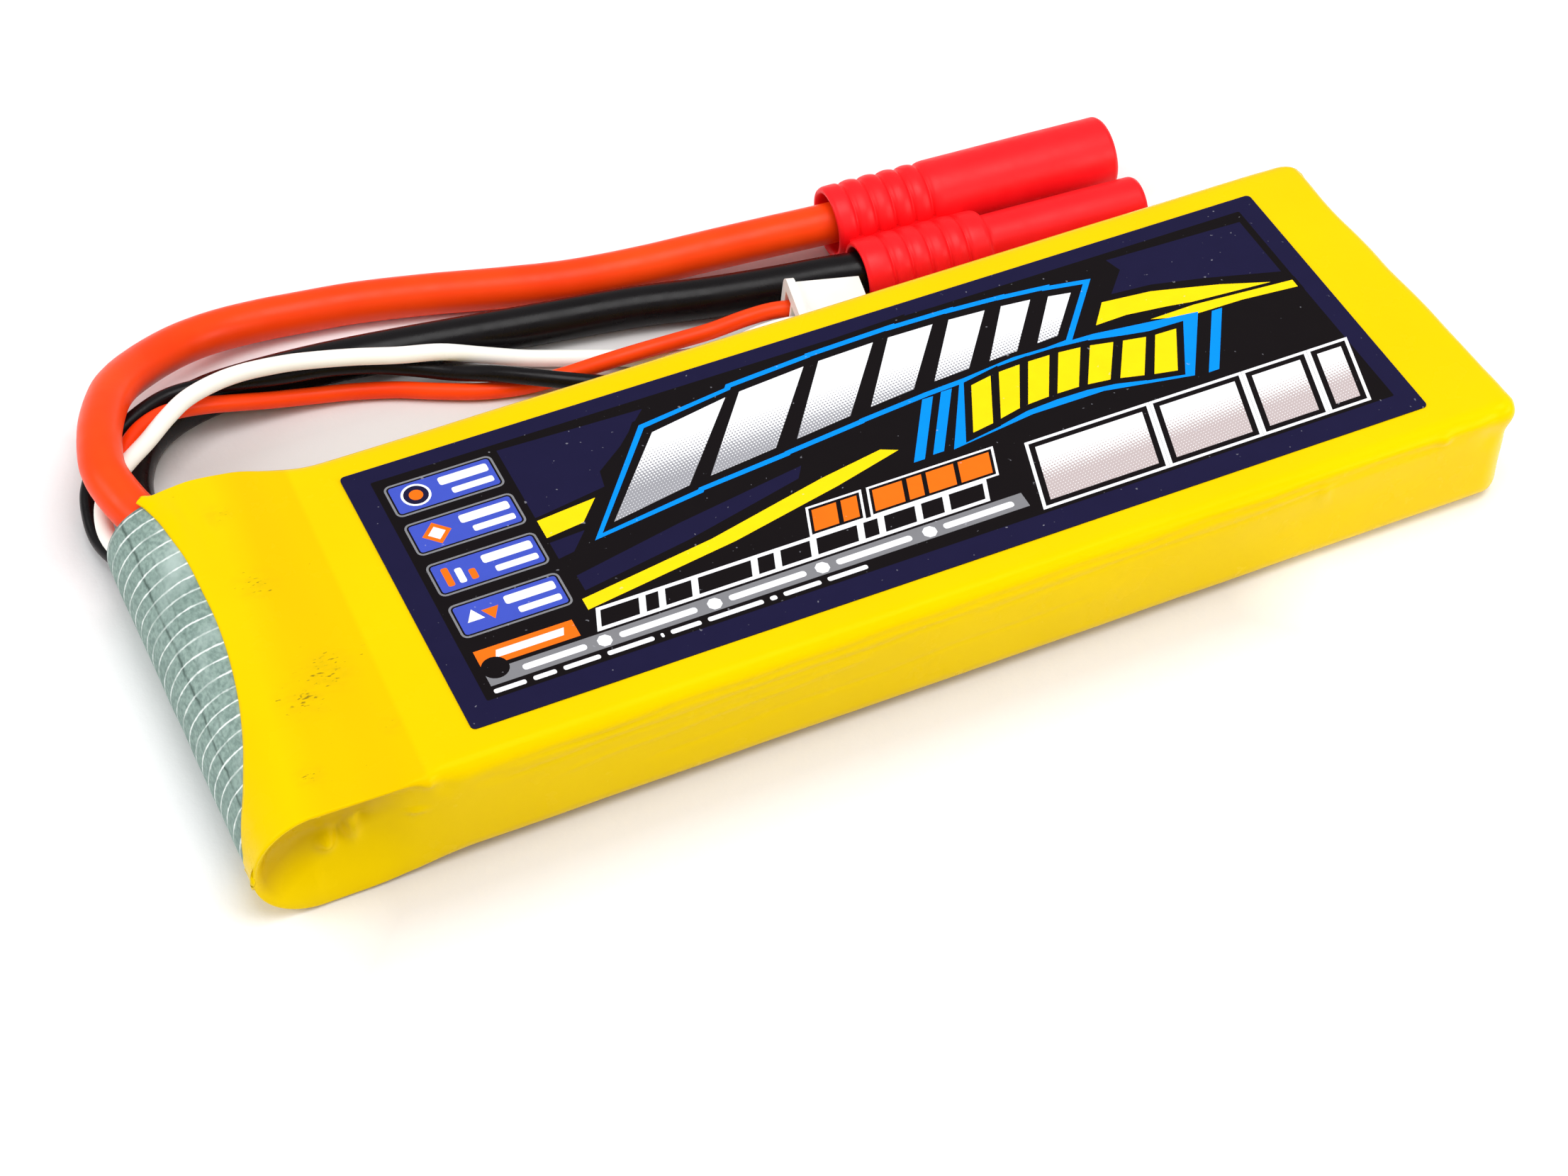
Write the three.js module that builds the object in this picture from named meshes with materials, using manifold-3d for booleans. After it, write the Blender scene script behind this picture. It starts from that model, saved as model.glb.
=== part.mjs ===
// Two-cell lithium polymer pack for a radio-controlled model, in millimetres, +Z up.
// The pack lies flat with its wire end towards -X. The origin is under the middle of the
// sleeved pack, without its leads. Two pouch cells and a terminal board sit in a heat-shrink
// sleeve. Two power leads and three balance leads leave the tube of insulating paper at the
// wire end and lie along the +Y side, ending in a twin bullet connector and a balance plug.
import * as THREE from "three";
import { mergeVertices } from "three/addons/utils/BufferGeometryUtils.js";
import Module from "manifold-3d";

const wasm = await Module();
wasm.setup();

// Driving dimensions
const PACK_LENGTH = 133;
const PACK_WIDTH = 43;
const BODY_TOP = 12.45; // top of the sleeve over the cells
const BODY_BOTTOM = 0.15; // underside of the sleeve, above the rear label
const FILM = 0.25; // sleeve thickness
const NOSE_RADIUS = 6.4; // half-round wire end, outside the sleeve
const NOSE_Z = 6.5;
const NOSE_X = -PACK_LENGTH / 2 + NOSE_RADIUS;
const MOUTH_X = -60.4; // deepest point of the sleeve's curved mouth
const MOUTH_Y = 7.5;
const MOUTH_BOW = 0.00902; // how fast the mouth curves back to the wire end, per millimetre
const TOP_EDGE = 1.8; // edge radius along the pack's top
const NOSE_EDGE = 0.7;
const NECK_X = -50.3; // where the wire end meets the cells
const BOTTOM_EDGE = 2.0;
const TAIL_CORNER = 2.5; // seen from above
const PAPER = 0.3;
const PAPER_RADIUS = NOSE_RADIUS - FILM - 0.1;
const PAPER_INNER_X = -51.5; // where the paper ends under the sleeve
const PAPER_SIDE = 22.0; // how far the paper tube reaches past the middle on the wire side
const LABEL = { length: 102, width: 35.3, thickness: 0.13, corner: 1.5, x: 7.4 };
const CELL = { length: 112, width: 41.4, height: 5.65, x0: -48, corner: 1.6 };
const CELL_BOTTOM = [0.45, 6.35]; // lower cell, upper cell
const TERRACE = { length: 3.8, thickness: 0.4 };
const BOARD = { x: -56.5, thickness: 1.0, width: 27, height: 10.2 };
const TAB = { width: 7.6, thickness: 0.2 };
const POWER_TAB_Y = 10;
const SERIES_TAB_Y = -10;
const POWER_WIRE = 2.25; // radius over the insulation, 12 AWG
const BALANCE_WIRE = 0.9; // radius over the insulation, 24 AWG
const CONDUCTOR = 1.45; // radius of a power lead's tinned strands
const HOUSING = {
  x: 20.7, y: 40.45, z: 4.2, yaw: -3.2, // middle of the thick tube's wire entry
  entry: -0.7, length: 32.5, pitch: 8.7, drop: 0.3, // second tube: beside and a little lower
  wide: 4.15, collar: 4.05, valley: 3.8, entryBore: 3.2, shroudBore: 3.35,
  sleeve: 3.8, sleeveValley: 3.55, narrow: 3.0, socketBore: 2.6,
  grooves: 5, grooveStart: 1.05, sleeveGrooveStart: 1.8, groovePitch: 2.18,
  gripEnd: 10.95, sleeveLength: 13.6, wallStart: 15, wallEnd: 18,
};
const BULLET = { radius: 2.0, cage: 2.12, cup: 2.7, tip: 27.0 };
const PLUG = {
  x: 9.85, y: 27.6, z: 4.1, yaw: -11, tilt: 5, // middle of the wire-entry face
  length: 8.1, bodyWidth: 8.3, bodyHeight: 4.4, flange: 0.9, flangeWidth: 9.6, flangeHeight: 5.75,
  pitch: 2.5, slotWidth: 2.05, slotHeight: 3.2,
};

// Routes of the leads, from the solder joint to the connector. They leave the paper tube
// along +Y, cross one another in loose bends and come to lie on the table.
const ROUTES = {
  power_wire_red: [
    [-60.4, 14.0, 9.2], [-60.9, 18.5, 9.2], [-61.7, 22.0, 9.5], [-63.0, 25.6, 10.2],
    [-63.7, 29.6, 10.7], [-62.9, 34.0, 10.4], [-61.4, 38.4, 9.5], [-58.7, 43.7, 7.8],
    [-54.6, 48.2, 5.6], [-50.0, 51.2, 4.1], [-45.8, 52.6, 3.2], [-41.0, 53.0, 2.6],
    [-36.4, 52.7, 2.3], [-30.4, 51.7, 2.3], [-23.0, 49.8, 2.3], [-15.8, 47.6, 2.3],
    [-8.4, 45.6, 2.3], [-0.7, 44.1, 2.6], [7.1, 42.8, 3.2], [13.2, 41.6, 3.8],
    [19.0, 40.6, 4.2], [24.6, 40.2, 4.2],
  ],
  power_wire_black: [
    [-59.4, 14.0, 3.7], [-59.6, 20.5, 3.4], [-60.4, 26.0, 2.8], [-61.0, 30.5, 2.4],
    [-60.7, 33.7, 2.3], [-59.9, 36.5, 2.3], [-58.4, 39.3, 2.3], [-56.1, 41.8, 2.3],
    [-53.3, 43.4, 2.3], [-49.2, 44.5, 2.3], [-45.9, 44.7, 2.3], [-37.9, 44.3, 2.3],
    [-28.8, 43.1, 2.3], [-18.3, 41.3, 2.3], [-10.7, 40.0, 2.3], [-3.2, 38.7, 2.3],
    [4.2, 36.8, 2.4], [11.3, 34.9, 2.9], [16.2, 33.5, 3.5], [20.4, 32.2, 3.9],
    [24.1, 31.55, 3.9],
  ],
  balance_wire_white: [
    [-59.0, -6.0, 6.4], [-60.2, -3.6, 6.2], [-62.6, 0.0, 5.6], [-63.9, 6.0, 5.3],
    [-63.9, 16.0, 5.3], [-64.2, 21.5, 5.5], [-65.2, 26.0, 6.0], [-64.7, 28.7, 6.7], [-63.7, 30.4, 7.2],
    [-62.3, 31.8, 7.5], [-60.4, 33.4, 7.6], [-57.9, 35.5, 7.4], [-55.1, 37.9, 7.4],
    [-52.5, 39.7, 7.4], [-49.1, 41.1, 7.1], [-46.0, 41.7, 6.8], [-41.5, 41.5, 6.5],
    [-38.6, 41.0, 6.3], [-34.4, 40.1, 5.9], [-30.0, 39.2, 5.2], [-25.4, 38.7, 4.3],
    [-21.1, 38.0, 2.8], [-16.9, 37.0, 1.6], [-12.6, 35.6, 1.1], [-8.5, 33.9, 1.0],
    [-3.0, 31.2, 1.0], [2.5, 29.3, 1.8], [6.4, 28.5, 3.3], [9.0, 27.8, 4.0], [11.8, 27.2, 3.97],
  ],
  balance_wire_black: [
    [-58.75, 0.5, 3.6], [-60.2, 3.0, 3.5], [-62.4, 6.4, 3.4], [-62.9, 10.0, 3.4],
    [-62.9, 16.0, 3.4], [-63.2, 21.0, 3.2], [-64.5, 25.2, 2.5],
    [-65.5, 29.4, 2.1], [-65.4, 32.3, 2.7], [-64.6, 35.1, 3.6], [-62.5, 37.7, 4.6],
    [-59.7, 39.9, 5.4], [-56.5, 41.6, 5.7], [-53.6, 42.6, 5.7], [-49.6, 42.8, 5.4],
    [-46.0, 42.5, 4.9], [-41.6, 41.9, 4.5], [-37.1, 41.4, 4.2], [-32.8, 40.5, 3.7],
    [-28.7, 39.3, 2.8], [-24.9, 37.2, 2.5], [-21.0, 34.6, 3.0], [-17.1, 32.3, 2.9],
    [-13.1, 30.5, 2.3], [-6.5, 28.3, 1.1], [-0.5, 26.9, 1.1], [4.0, 26.2, 2.3],
    [7.4, 25.6, 3.6], [11.3, 24.76, 3.97],
  ],
  balance_wire_red: [
    [-58.75, 0.5, 8.6], [-59.6, 2.4, 7.8], [-61.2, 5.4, 6.5], [-61.9, 9.0, 6.15],
    [-61.9, 16.0, 6.15], [-62.2, 20.5, 6.2], [-62.5, 26.0, 5.6],
    [-62.3, 31.1, 5.5], [-61.5, 33.8, 5.7], [-60.1, 36.5, 6.0], [-58.0, 38.5, 6.2],
    [-55.4, 39.9, 6.0], [-53.3, 40.5, 5.5], [-50.2, 41.0, 4.5], [-47.3, 41.2, 3.5],
    [-43.6, 41.2, 2.4], [-39.1, 40.9, 1.5], [-34.8, 40.1, 1.1], [-30.6, 38.6, 1.0],
    [-26.7, 36.6, 1.0], [-22.5, 34.7, 1.0], [-18.2, 33.6, 1.0], [-13.8, 32.8, 1.6],
    [-10.0, 32.1, 2.4], [-6.2, 31.6, 2.9], [-2.2, 31.4, 3.0], [1.9, 31.2, 3.1],
    [6.0, 30.9, 3.7], [8.8, 30.4, 4.1], [12.3, 29.65, 3.97],
  ],
};

// Solder joints: where each bare conductor lies, and the face it is soldered to
const JOINTS = {
  positive: { x: -60.4, z: 9.2, radius: CONDUCTOR, y: [6.6, 13.7], face: -57.85, half: 2.0 },
  negative: { x: -59.4, z: 3.7, radius: CONDUCTOR, y: [6.6, 13.7], face: -57.85, half: 1.9 },
  balance_red: { x: -58.75, z: 8.6, radius: 0.35, y: [-3, 0.2], face: -57.55, half: 0.8 },
  balance_black: { x: -58.75, z: 3.6, radius: 0.35, y: [-3, 0.2], face: -57.55, half: 0.8 },
  balance_white: { x: -59.0, z: 6.4, radius: 0.35, y: [-9.5, -6.3], face: -58.2, half: 0.8 },
};

const COLOURS = {
  film: [0xffe600, 0.35, 0], label: [0x2a2550, 0.45, 0], paper: [0x82968f, 0.8, 0],
  pouch: [0xc9ccd0, 0.35, 1], tape: [0xd08a20, 0.4, 0], foam: [0x9aa59c, 0.9, 0],
  board: [0x2f5d3a, 0.5, 0], nickel: [0xc8c4b8, 0.3, 1], solder: [0xb9bcc0, 0.25, 1],
  copper: [0xcfa070, 0.35, 1], gold: [0xd9b45a, 0.25, 1], housing: [0xeb232d, 0.5, 0],
  redRubber: [0xf54b23, 0.45, 0], blackRubber: [0x1c191b, 0.45, 0], whiteRubber: [0xf2efe4, 0.45, 0],
  nylon: [0xebe8de, 0.5, 0],
};

const pack = new THREE.Group();
const radians = THREE.MathUtils.degToRad;

function addNode(name, shape, colour, parent = pack) {
  const [hex, roughness, metalness] = COLOURS[colour];
  const geometry = shape.isBufferGeometry ? shape : toGeometry(shape);
  const material = new THREE.MeshStandardMaterial({ color: hex, roughness, metalness });
  const mesh = new THREE.Mesh(geometry, material);
  mesh.name = name;
  parent.add(mesh);
  return mesh;
}

function toSolid(geometry) {
  const bare = geometry.clone();
  bare.deleteAttribute("normal");
  bare.deleteAttribute("uv");
  const merged = mergeVertices(bare, 1e-4);
  return new wasm.Manifold(new wasm.Mesh({
    numProp: 3,
    vertProperties: new Float32Array(merged.attributes.position.array),
    triVerts: new Uint32Array(merged.index.array),
  }));
}

function toGeometry(solid) {
  const mesh = solid.getMesh();
  const geometry = new THREE.BufferGeometry();
  geometry.setAttribute("position", new THREE.BufferAttribute(mesh.vertProperties, 3));
  geometry.setIndex(new THREE.BufferAttribute(mesh.triVerts, 1));
  return geometry;
}

// A box between two corners
function block(x0, x1, y0, y1, z0, z1) {
  const geometry = new THREE.BoxGeometry(x1 - x0, y1 - y0, z1 - z0);
  return geometry.translate((x0 + x1) / 2, (y0 + y1) / 2, (z0 + z1) / 2);
}

// A plan outline given a thickness along Z
function plate(shape, z0, z1, curveSegments = 6) {
  const geometry = new THREE.ExtrudeGeometry(shape, {
    depth: z1 - z0, bevelEnabled: false, curveSegments,
  });
  return geometry.translate(0, 0, z0);
}

// An outline drawn in X and Z, given a width along Y
function sideProfile(shape, y0, y1, curveSegments = 12) {
  const geometry = plate(shape, 0, y1 - y0, curveSegments);
  return geometry.rotateX(Math.PI / 2).translate(0, y1, 0);
}

// An outline drawn in Y and Z, given a length along X
function crossProfile(shape, x0, x1, curveSegments = 5) {
  const geometry = plate(shape, 0, x1 - x0, curveSegments);
  return geometry.rotateX(Math.PI / 2).rotateZ(Math.PI / 2).translate(x0, 0, 0);
}

// A rectangle with one radius for its lower corners and one for its upper corners
function roundedRectangle(x0, x1, y0, y1, lower, upper = lower) {
  const shape = new THREE.Shape();
  shape.moveTo(x0 + lower, y0);
  shape.lineTo(x1 - lower, y0);
  shape.absarc(x1 - lower, y0 + lower, lower, -Math.PI / 2, 0);
  shape.absarc(x1 - upper, y1 - upper, upper, 0, Math.PI / 2);
  shape.absarc(x0 + upper, y1 - upper, upper, Math.PI / 2, Math.PI);
  shape.absarc(x0 + lower, y0 + lower, lower, Math.PI, 1.5 * Math.PI);
  return shape;
}

// A round bar along Y, or a bar turned on the X axis from [x, radius] points
function barAlongY(x, z, radius, y0, y1) {
  return new THREE.CylinderGeometry(radius, radius, y1 - y0, 16).translate(x, (y0 + y1) / 2, z);
}

function turned(points, segments = 28) {
  const profile = points.map(([x, radius]) => new THREE.Vector2(radius, x));
  return new THREE.LatheGeometry(profile, segments).rotateZ(-Math.PI / 2);
}

// Side view of the wrapped pack: flat base, half-round wire end, small step up to the cells
function packSide(inset) {
  const radius = NOSE_RADIUS - inset;
  const tail = PACK_LENGTH / 2 - inset;
  const top = BODY_TOP - inset;
  const bottom = BODY_BOTTOM + inset;
  const edge = TOP_EDGE - inset;
  const shape = new THREE.Shape();
  shape.moveTo(tail - edge, bottom);
  shape.absarc(tail - edge, bottom + edge, edge, -Math.PI / 2, 0);
  shape.absarc(tail - edge, top - edge, edge, 0, Math.PI / 2);
  shape.lineTo(NECK_X + 2, top);
  shape.lineTo(NECK_X, top - 0.25);
  shape.lineTo(-57.5, NOSE_Z + radius - 0.05);
  shape.absarc(NOSE_X, NOSE_Z, radius, Math.PI / 2, 1.5 * Math.PI);
  shape.lineTo(-57.0, NOSE_Z - radius);
  shape.lineTo(-52.0, bottom);
  return shape;
}

// The wrapped pack's outside, or its inside when it is inset by the film
function packSolid(inset) {
  const side = PACK_WIDTH / 2 - inset;
  const end = PACK_LENGTH / 2;
  const length = toSolid(sideProfile(packSide(inset), -side, side));
  const nose = toSolid(crossProfile(roundedRectangle(
    -side, side, NOSE_Z - NOSE_RADIUS + inset, NOSE_Z + NOSE_RADIUS - inset,
    NOSE_EDGE - inset), -end - 1, NECK_X));
  const body = toSolid(crossProfile(roundedRectangle(
    -side, side, BODY_BOTTOM + inset, BODY_TOP - inset,
    BOTTOM_EDGE - inset, TOP_EDGE - inset), NECK_X - 0.2, end + 1));
  const plan = new THREE.Shape();
  const corner = TAIL_CORNER - inset;
  const tail = end - inset;
  plan.moveTo(-end - 1, -side);
  plan.lineTo(tail - corner, -side);
  plan.absarc(tail - corner, corner - side, corner, -Math.PI / 2, 0);
  plan.absarc(tail - corner, side - corner, corner, 0, Math.PI / 2);
  plan.lineTo(-end - 1, side);
  return length.intersect(nose.add(body)).intersect(toSolid(plate(plan, -1, NOSE_Z * 2 + 1)));
}

// The sleeve's mouth seen from above: everything on the wire side of this outline is bare
function mouthOutline() {
  const shape = new THREE.Shape();
  const far = PACK_WIDTH / 2 + 2;
  const near = MOUTH_Y - Math.sqrt((MOUTH_X - NOSE_X + NOSE_RADIUS + 1) / MOUTH_BOW);
  shape.moveTo(NOSE_X - NOSE_RADIUS - 1, near);
  const steps = 22;
  for (let i = 0; i <= steps; i += 1) {
    const y = near + ((far - near) * i) / steps;
    shape.lineTo(MOUTH_X - MOUTH_BOW * (y - MOUTH_Y) ** 2, y);
  }
  shape.lineTo(NOSE_X - NOSE_RADIUS - 1, far);
  return shape;
}

function shrinkSleeve() {
  const inside = packSolid(FILM);
  const mouth = toSolid(plate(mouthOutline(), -1, NOSE_Z * 2 + 1));
  const wireWindow = toSolid(sideProfile(packSide(FILM), 15, PACK_WIDTH / 2 + 1))
    .intersect(toSolid(block(-70, PAPER_INNER_X + 0.2, 0, 30, 0, 20)));
  const tailWindow = toSolid(crossProfile(
    roundedRectangle(-15, 15, 3.6, 9.2, 2.5), PACK_LENGTH / 2 - 1, PACK_LENGTH / 2 + 1));
  return packSolid(0).subtract(inside).subtract(mouth).subtract(wireWindow)
    .subtract(tailWindow);
}

function sticker(z0) {
  const { length, width, corner, thickness, x } = LABEL;
  const shape = roundedRectangle(
    x - length / 2, x + length / 2, -width / 2, width / 2, corner);
  return plate(shape, z0, z0 + thickness);
}

// Insulating paper bent round the wire end, open on the wire side
function nosePaper() {
  const shape = new THREE.Shape();
  const inner = PAPER_RADIUS - PAPER;
  const drop = 0.55; // the paper runs down with the sleeve towards the cells
  shape.moveTo(PAPER_INNER_X, NOSE_Z + PAPER_RADIUS - drop);
  shape.lineTo(-57.5, NOSE_Z + PAPER_RADIUS - 0.1);
  shape.absarc(NOSE_X, NOSE_Z, PAPER_RADIUS, Math.PI / 2, 1.5 * Math.PI);
  shape.lineTo(PAPER_INNER_X, NOSE_Z - PAPER_RADIUS);
  shape.lineTo(PAPER_INNER_X, NOSE_Z - inner);
  shape.absarc(NOSE_X, NOSE_Z, inner, 1.5 * Math.PI, Math.PI / 2, true);
  shape.lineTo(-57.5, NOSE_Z + inner - 0.1);
  shape.lineTo(PAPER_INNER_X, NOSE_Z + inner - drop);
  return sideProfile(shape, 0.6 - PACK_WIDTH / 2, PAPER_SIDE);
}

// A pouch cell with the sealed terrace that its tabs come out of
function pouchCell(z0) {
  const { length, width, height, x0, corner } = CELL;
  const half = width / 2;
  const section = roundedRectangle(-half, half, z0, z0 + height, corner);
  const body = toSolid(crossProfile(section, x0, x0 + length, 4));
  const middle = z0 + height / 2;
  const terrace = toSolid(block(
    x0 - TERRACE.length, x0 + 1, 1 - half, half - 1,
    middle - TERRACE.thickness / 2, middle + TERRACE.thickness / 2));
  return body.add(terrace);
}

const cellMiddle = CELL_BOTTOM.map((z) => z + CELL.height / 2);
const terraceEnd = CELL.x0 - TERRACE.length;

// A strip tab: out of a cell's terrace, through the board and folded along it
function stripTab(y, z, foldX, foldEnd) {
  const half = TAB.thickness / 2;
  const out = terraceEnd - 0.05;
  const outline = new THREE.Shape();
  const side = Math.sign(foldEnd - z);
  outline.moveTo(out, z - side * half);
  outline.lineTo(out, z + side * half);
  outline.lineTo(foldX + TAB.thickness, z + side * half);
  outline.lineTo(foldX + TAB.thickness, foldEnd);
  outline.lineTo(foldX, foldEnd);
  outline.lineTo(foldX, z - side * half);
  return sideProfile(outline, y - TAB.width / 2, y + TAB.width / 2);
}

function terminalBoard() {
  const { x, thickness, width, height } = BOARD;
  const bottom = NOSE_Z - height / 2;
  let board = toSolid(block(x - thickness, x, -width / 2, width / 2, bottom, bottom + height));
  const reach = TAB.width / 2 + 0.3;
  for (const y of [POWER_TAB_Y, SERIES_TAB_Y]) {
    for (const z of cellMiddle) {
      const slot = block(x - thickness - 1, x + 1, y - reach, y + reach, z - 0.4, z + 0.4);
      board = board.subtract(toSolid(slot));
    }
  }
  return board;
}

// Solder holding a bare conductor against a tab or the board, open on the wire side
function solderSaddle({ x, z, radius, y, face, half }) {
  const saddle = toSolid(block(x, face, y[0] + 0.8, y[1] - 0.8, z - half, z + half));
  return saddle.subtract(toSolid(barAlongY(x, z, radius + 0.05, y[0], y[1])));
}

// A free lead: a plain tube along its route
function lead(points, radius, sides, steps) {
  const route = new THREE.CatmullRomCurve3(
    points.map((p) => new THREE.Vector3(...p)), false, "centripetal");
  const section = new THREE.Shape();
  for (let i = 0; i < sides; i += 1) {
    const angle = (2 * Math.PI * i) / sides;
    const move = i === 0 ? "moveTo" : "lineTo";
    section[move](radius * Math.cos(angle), radius * Math.sin(angle));
  }
  return new THREE.ExtrudeGeometry(section, { steps, extrudePath: route, bevelEnabled: false });
}

// Ring grooves of a grip, as [x, radius] points
function grooves(start, crest, valley) {
  const points = [];
  for (let i = 0; i < HOUSING.grooves; i += 1) {
    const x = start + i * HOUSING.groovePitch;
    points.push([x, crest], [x + 0.35, valley], [x + 0.8, valley], [x + 1.15, crest]);
  }
  return points;
}

// The red moulding: a shroud round the male bullet and a narrower tube round the socket
function connectorHousing() {
  const h = HOUSING;
  const thick = toSolid(turned([
    [h.entry, 0], [h.entry, h.collar - 0.3], [h.entry + 0.3, h.collar],
    ...grooves(h.grooveStart, h.collar, h.valley),
    [h.gripEnd, h.collar], [h.gripEnd + 0.3, h.wide], [h.length - 0.4, h.wide],
    [h.length, h.wide - 0.4], [h.length, 0],
  ]));
  const thin = toSolid(turned([
    [h.entry, 0], [h.entry, h.sleeve - 0.3], [h.entry + 0.3, h.sleeve],
    ...grooves(h.sleeveGrooveStart, h.sleeve, h.sleeveValley),
    [h.sleeveLength, h.sleeve], [h.sleeveLength + 0.1, h.narrow], [h.length - 0.4, h.narrow],
    [h.length, h.narrow - 0.4], [h.length, 0],
  ]).translate(0, -h.pitch, -h.drop));
  const web = toSolid(block(0.3, h.sleeveLength, -h.pitch, 0, -1.2, 0.8));
  const bores = [
    turned([[-1, 0], [-1, h.entryBore], [h.wallStart, h.entryBore], [h.wallStart, 0]]),
    turned([[h.wallEnd, 0], [h.wallEnd, h.shroudBore], [h.length + 1, h.shroudBore],
      [h.length + 1, 0]]),
    turned([[h.wallStart - 1, 0], [h.wallStart - 1, BULLET.radius + 0.1],
      [h.wallEnd + 1, BULLET.radius + 0.1], [h.wallEnd + 1, 0]]),
    turned([[-1, 0], [-1, h.entryBore - 0.2], [h.sleeveLength - 1, h.entryBore - 0.2],
      [h.sleeveLength - 1, 0]]).translate(0, -h.pitch, -h.drop),
    turned([[0, 0], [0, h.socketBore], [h.length + 1, h.socketBore], [h.length + 1, 0]])
      .translate(0, -h.pitch, -h.drop),
  ];
  return bores.reduce((solid, bore) => solid.subtract(toSolid(bore)), thick.add(thin).add(web));
}

// Solder cup, stem and sprung cage of the male bullet, drawn along the housing's axis
function bulletMale() {
  const { radius, cage, cup, tip } = BULLET;
  return turned([
    [4.5, 0], [4.5, 2.35], [4.3, 2.35], [4.3, cup], [13.8, cup], [14.2, radius],
    [18.5, radius], [19.5, cage], [tip - 2, cage], [tip - 0.6, radius - 0.3], [tip, 1.1],
    [tip, 0],
  ], 20);
}

function bulletSocket() {
  const outer = HOUSING.socketBore - 0.1;
  const end = HOUSING.length - 1;
  return turned([
    [13.2, 0], [13.2, 2.05], [4.3, 2.05], [4.3, outer], [end, outer], [end, 2.05],
    [18.5, 2.05], [18.5, 0],
  ], 20);
}

// The balance plug: a nylon body with a flange at the wire end and three contact cavities
function balancePlug() {
  const p = PLUG;
  const body = toSolid(block(
    0.5, p.length, -p.bodyWidth / 2, p.bodyWidth / 2, -p.bodyHeight / 2, p.bodyHeight / 2));
  const flange = toSolid(block(
    0, p.flange, -p.flangeWidth / 2, p.flangeWidth / 2, -p.flangeHeight / 2,
    p.flangeHeight / 2));
  let plug = body.add(flange);
  for (const side of [-1, 0, 1]) {
    const y = side * p.pitch;
    plug = plug.subtract(toSolid(block(
      -1, p.length + 1, y - p.slotWidth / 2, y + p.slotWidth / 2, -p.slotHeight / 2,
      p.slotHeight / 2)));
  }
  return plug;
}

// Shrink sleeve, labels and paper
addNode("shrink_sleeve", shrinkSleeve(), "film");
addNode("front_label", sticker(BODY_TOP + 0.02), "label");
addNode("rear_label", sticker(0), "label");
addNode("nose_paper", nosePaper(), "paper");

// Cells
addNode("cell_lower", pouchCell(CELL_BOTTOM[0]), "pouch");
addNode("cell_upper", pouchCell(CELL_BOTTOM[1]), "pouch");
addNode("cell_bonding_tape", block(-46, 60, -17, 17, 6.15, 6.3), "tape");
addNode("cell_band_front", block(-47, -37, -18.5, 18.5, 12.03, 12.13), "tape");
addNode("cell_band_rear", block(48, 60, -18.5, 18.5, 12.03, 12.13), "tape");
addNode("tail_pad", block(64.4, 65.8, -19.5, 19.5, 1.6, 10.8), "foam");

// Terminals
addNode("terminal_board", terminalBoard(), "board");
addNode("tab_positive", stripTab(POWER_TAB_Y, cellMiddle[1], -57.8, 6.7), "nickel");
addNode("tab_negative", stripTab(POWER_TAB_Y, cellMiddle[0], -57.8, 6.0), "nickel");
addNode("series_tab_upper", stripTab(SERIES_TAB_Y, cellMiddle[1], -57.8, 4.6), "nickel");
addNode("series_tab_lower", stripTab(SERIES_TAB_Y, cellMiddle[0], -58.1, 8.0), "nickel");
for (const [name, joint] of Object.entries(JOINTS)) {
  const { x, z, radius, y } = joint;
  addNode(`conductor_${name}`, barAlongY(x, z, radius, y[0], y[1]), "copper");
  addNode(`solder_${name}`, solderSaddle(joint), "solder");
}

// Leads
const POWER_STEPS = 44;
const BALANCE_STEPS = 56;
for (const [name, colour] of [
  ["power_wire_red", "redRubber"], ["power_wire_black", "blackRubber"],
]) addNode(name, lead(ROUTES[name], POWER_WIRE, 12, POWER_STEPS), colour);
for (const [name, colour] of [
  ["balance_wire_black", "blackRubber"], ["balance_wire_white", "whiteRubber"],
  ["balance_wire_red", "redRubber"],
]) addNode(name, lead(ROUTES[name], BALANCE_WIRE, 8, BALANCE_STEPS), colour);

// Twin bullet connector
const connector = new THREE.Group();
connector.position.set(HOUSING.x, HOUSING.y, HOUSING.z);
connector.rotation.z = radians(HOUSING.yaw);
pack.add(connector);
addNode("connector_housing", connectorHousing(), "housing", connector);
addNode("bullet_male", bulletMale(), "gold", connector);
addNode("bullet_socket", bulletSocket().translate(0, -HOUSING.pitch, -HOUSING.drop), "gold",
  connector);

// Balance plug
const plug = new THREE.Group();
plug.position.set(PLUG.x, PLUG.y, PLUG.z);
plug.rotation.set(0, radians(PLUG.tilt), radians(PLUG.yaw), "ZYX");
pack.add(plug);
addNode("balance_plug", balancePlug(), "nylon", plug);
["near", "middle", "far"].forEach((place, i) => {
  const y = (i - 1) * PLUG.pitch;
  const contact = block(2.6, PLUG.length - 0.8, y - 0.7, y + 0.7, -0.9, 0.9);
  addNode(`balance_contact_${place}`, contact, "gold", plug);
});

export default pack;
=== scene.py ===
"""Looks for the two-cell lithium polymer pack, in metres, in the CAD model's frame.

The pack lies flat with its wire end towards -X. Shapes are written in millimetres and scaled by
MM as they become meshes. The materials' places and distances are in metres.
"""

import math

import bmesh
import bpy
from mathutils import Matrix, Vector, geometry, noise


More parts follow.
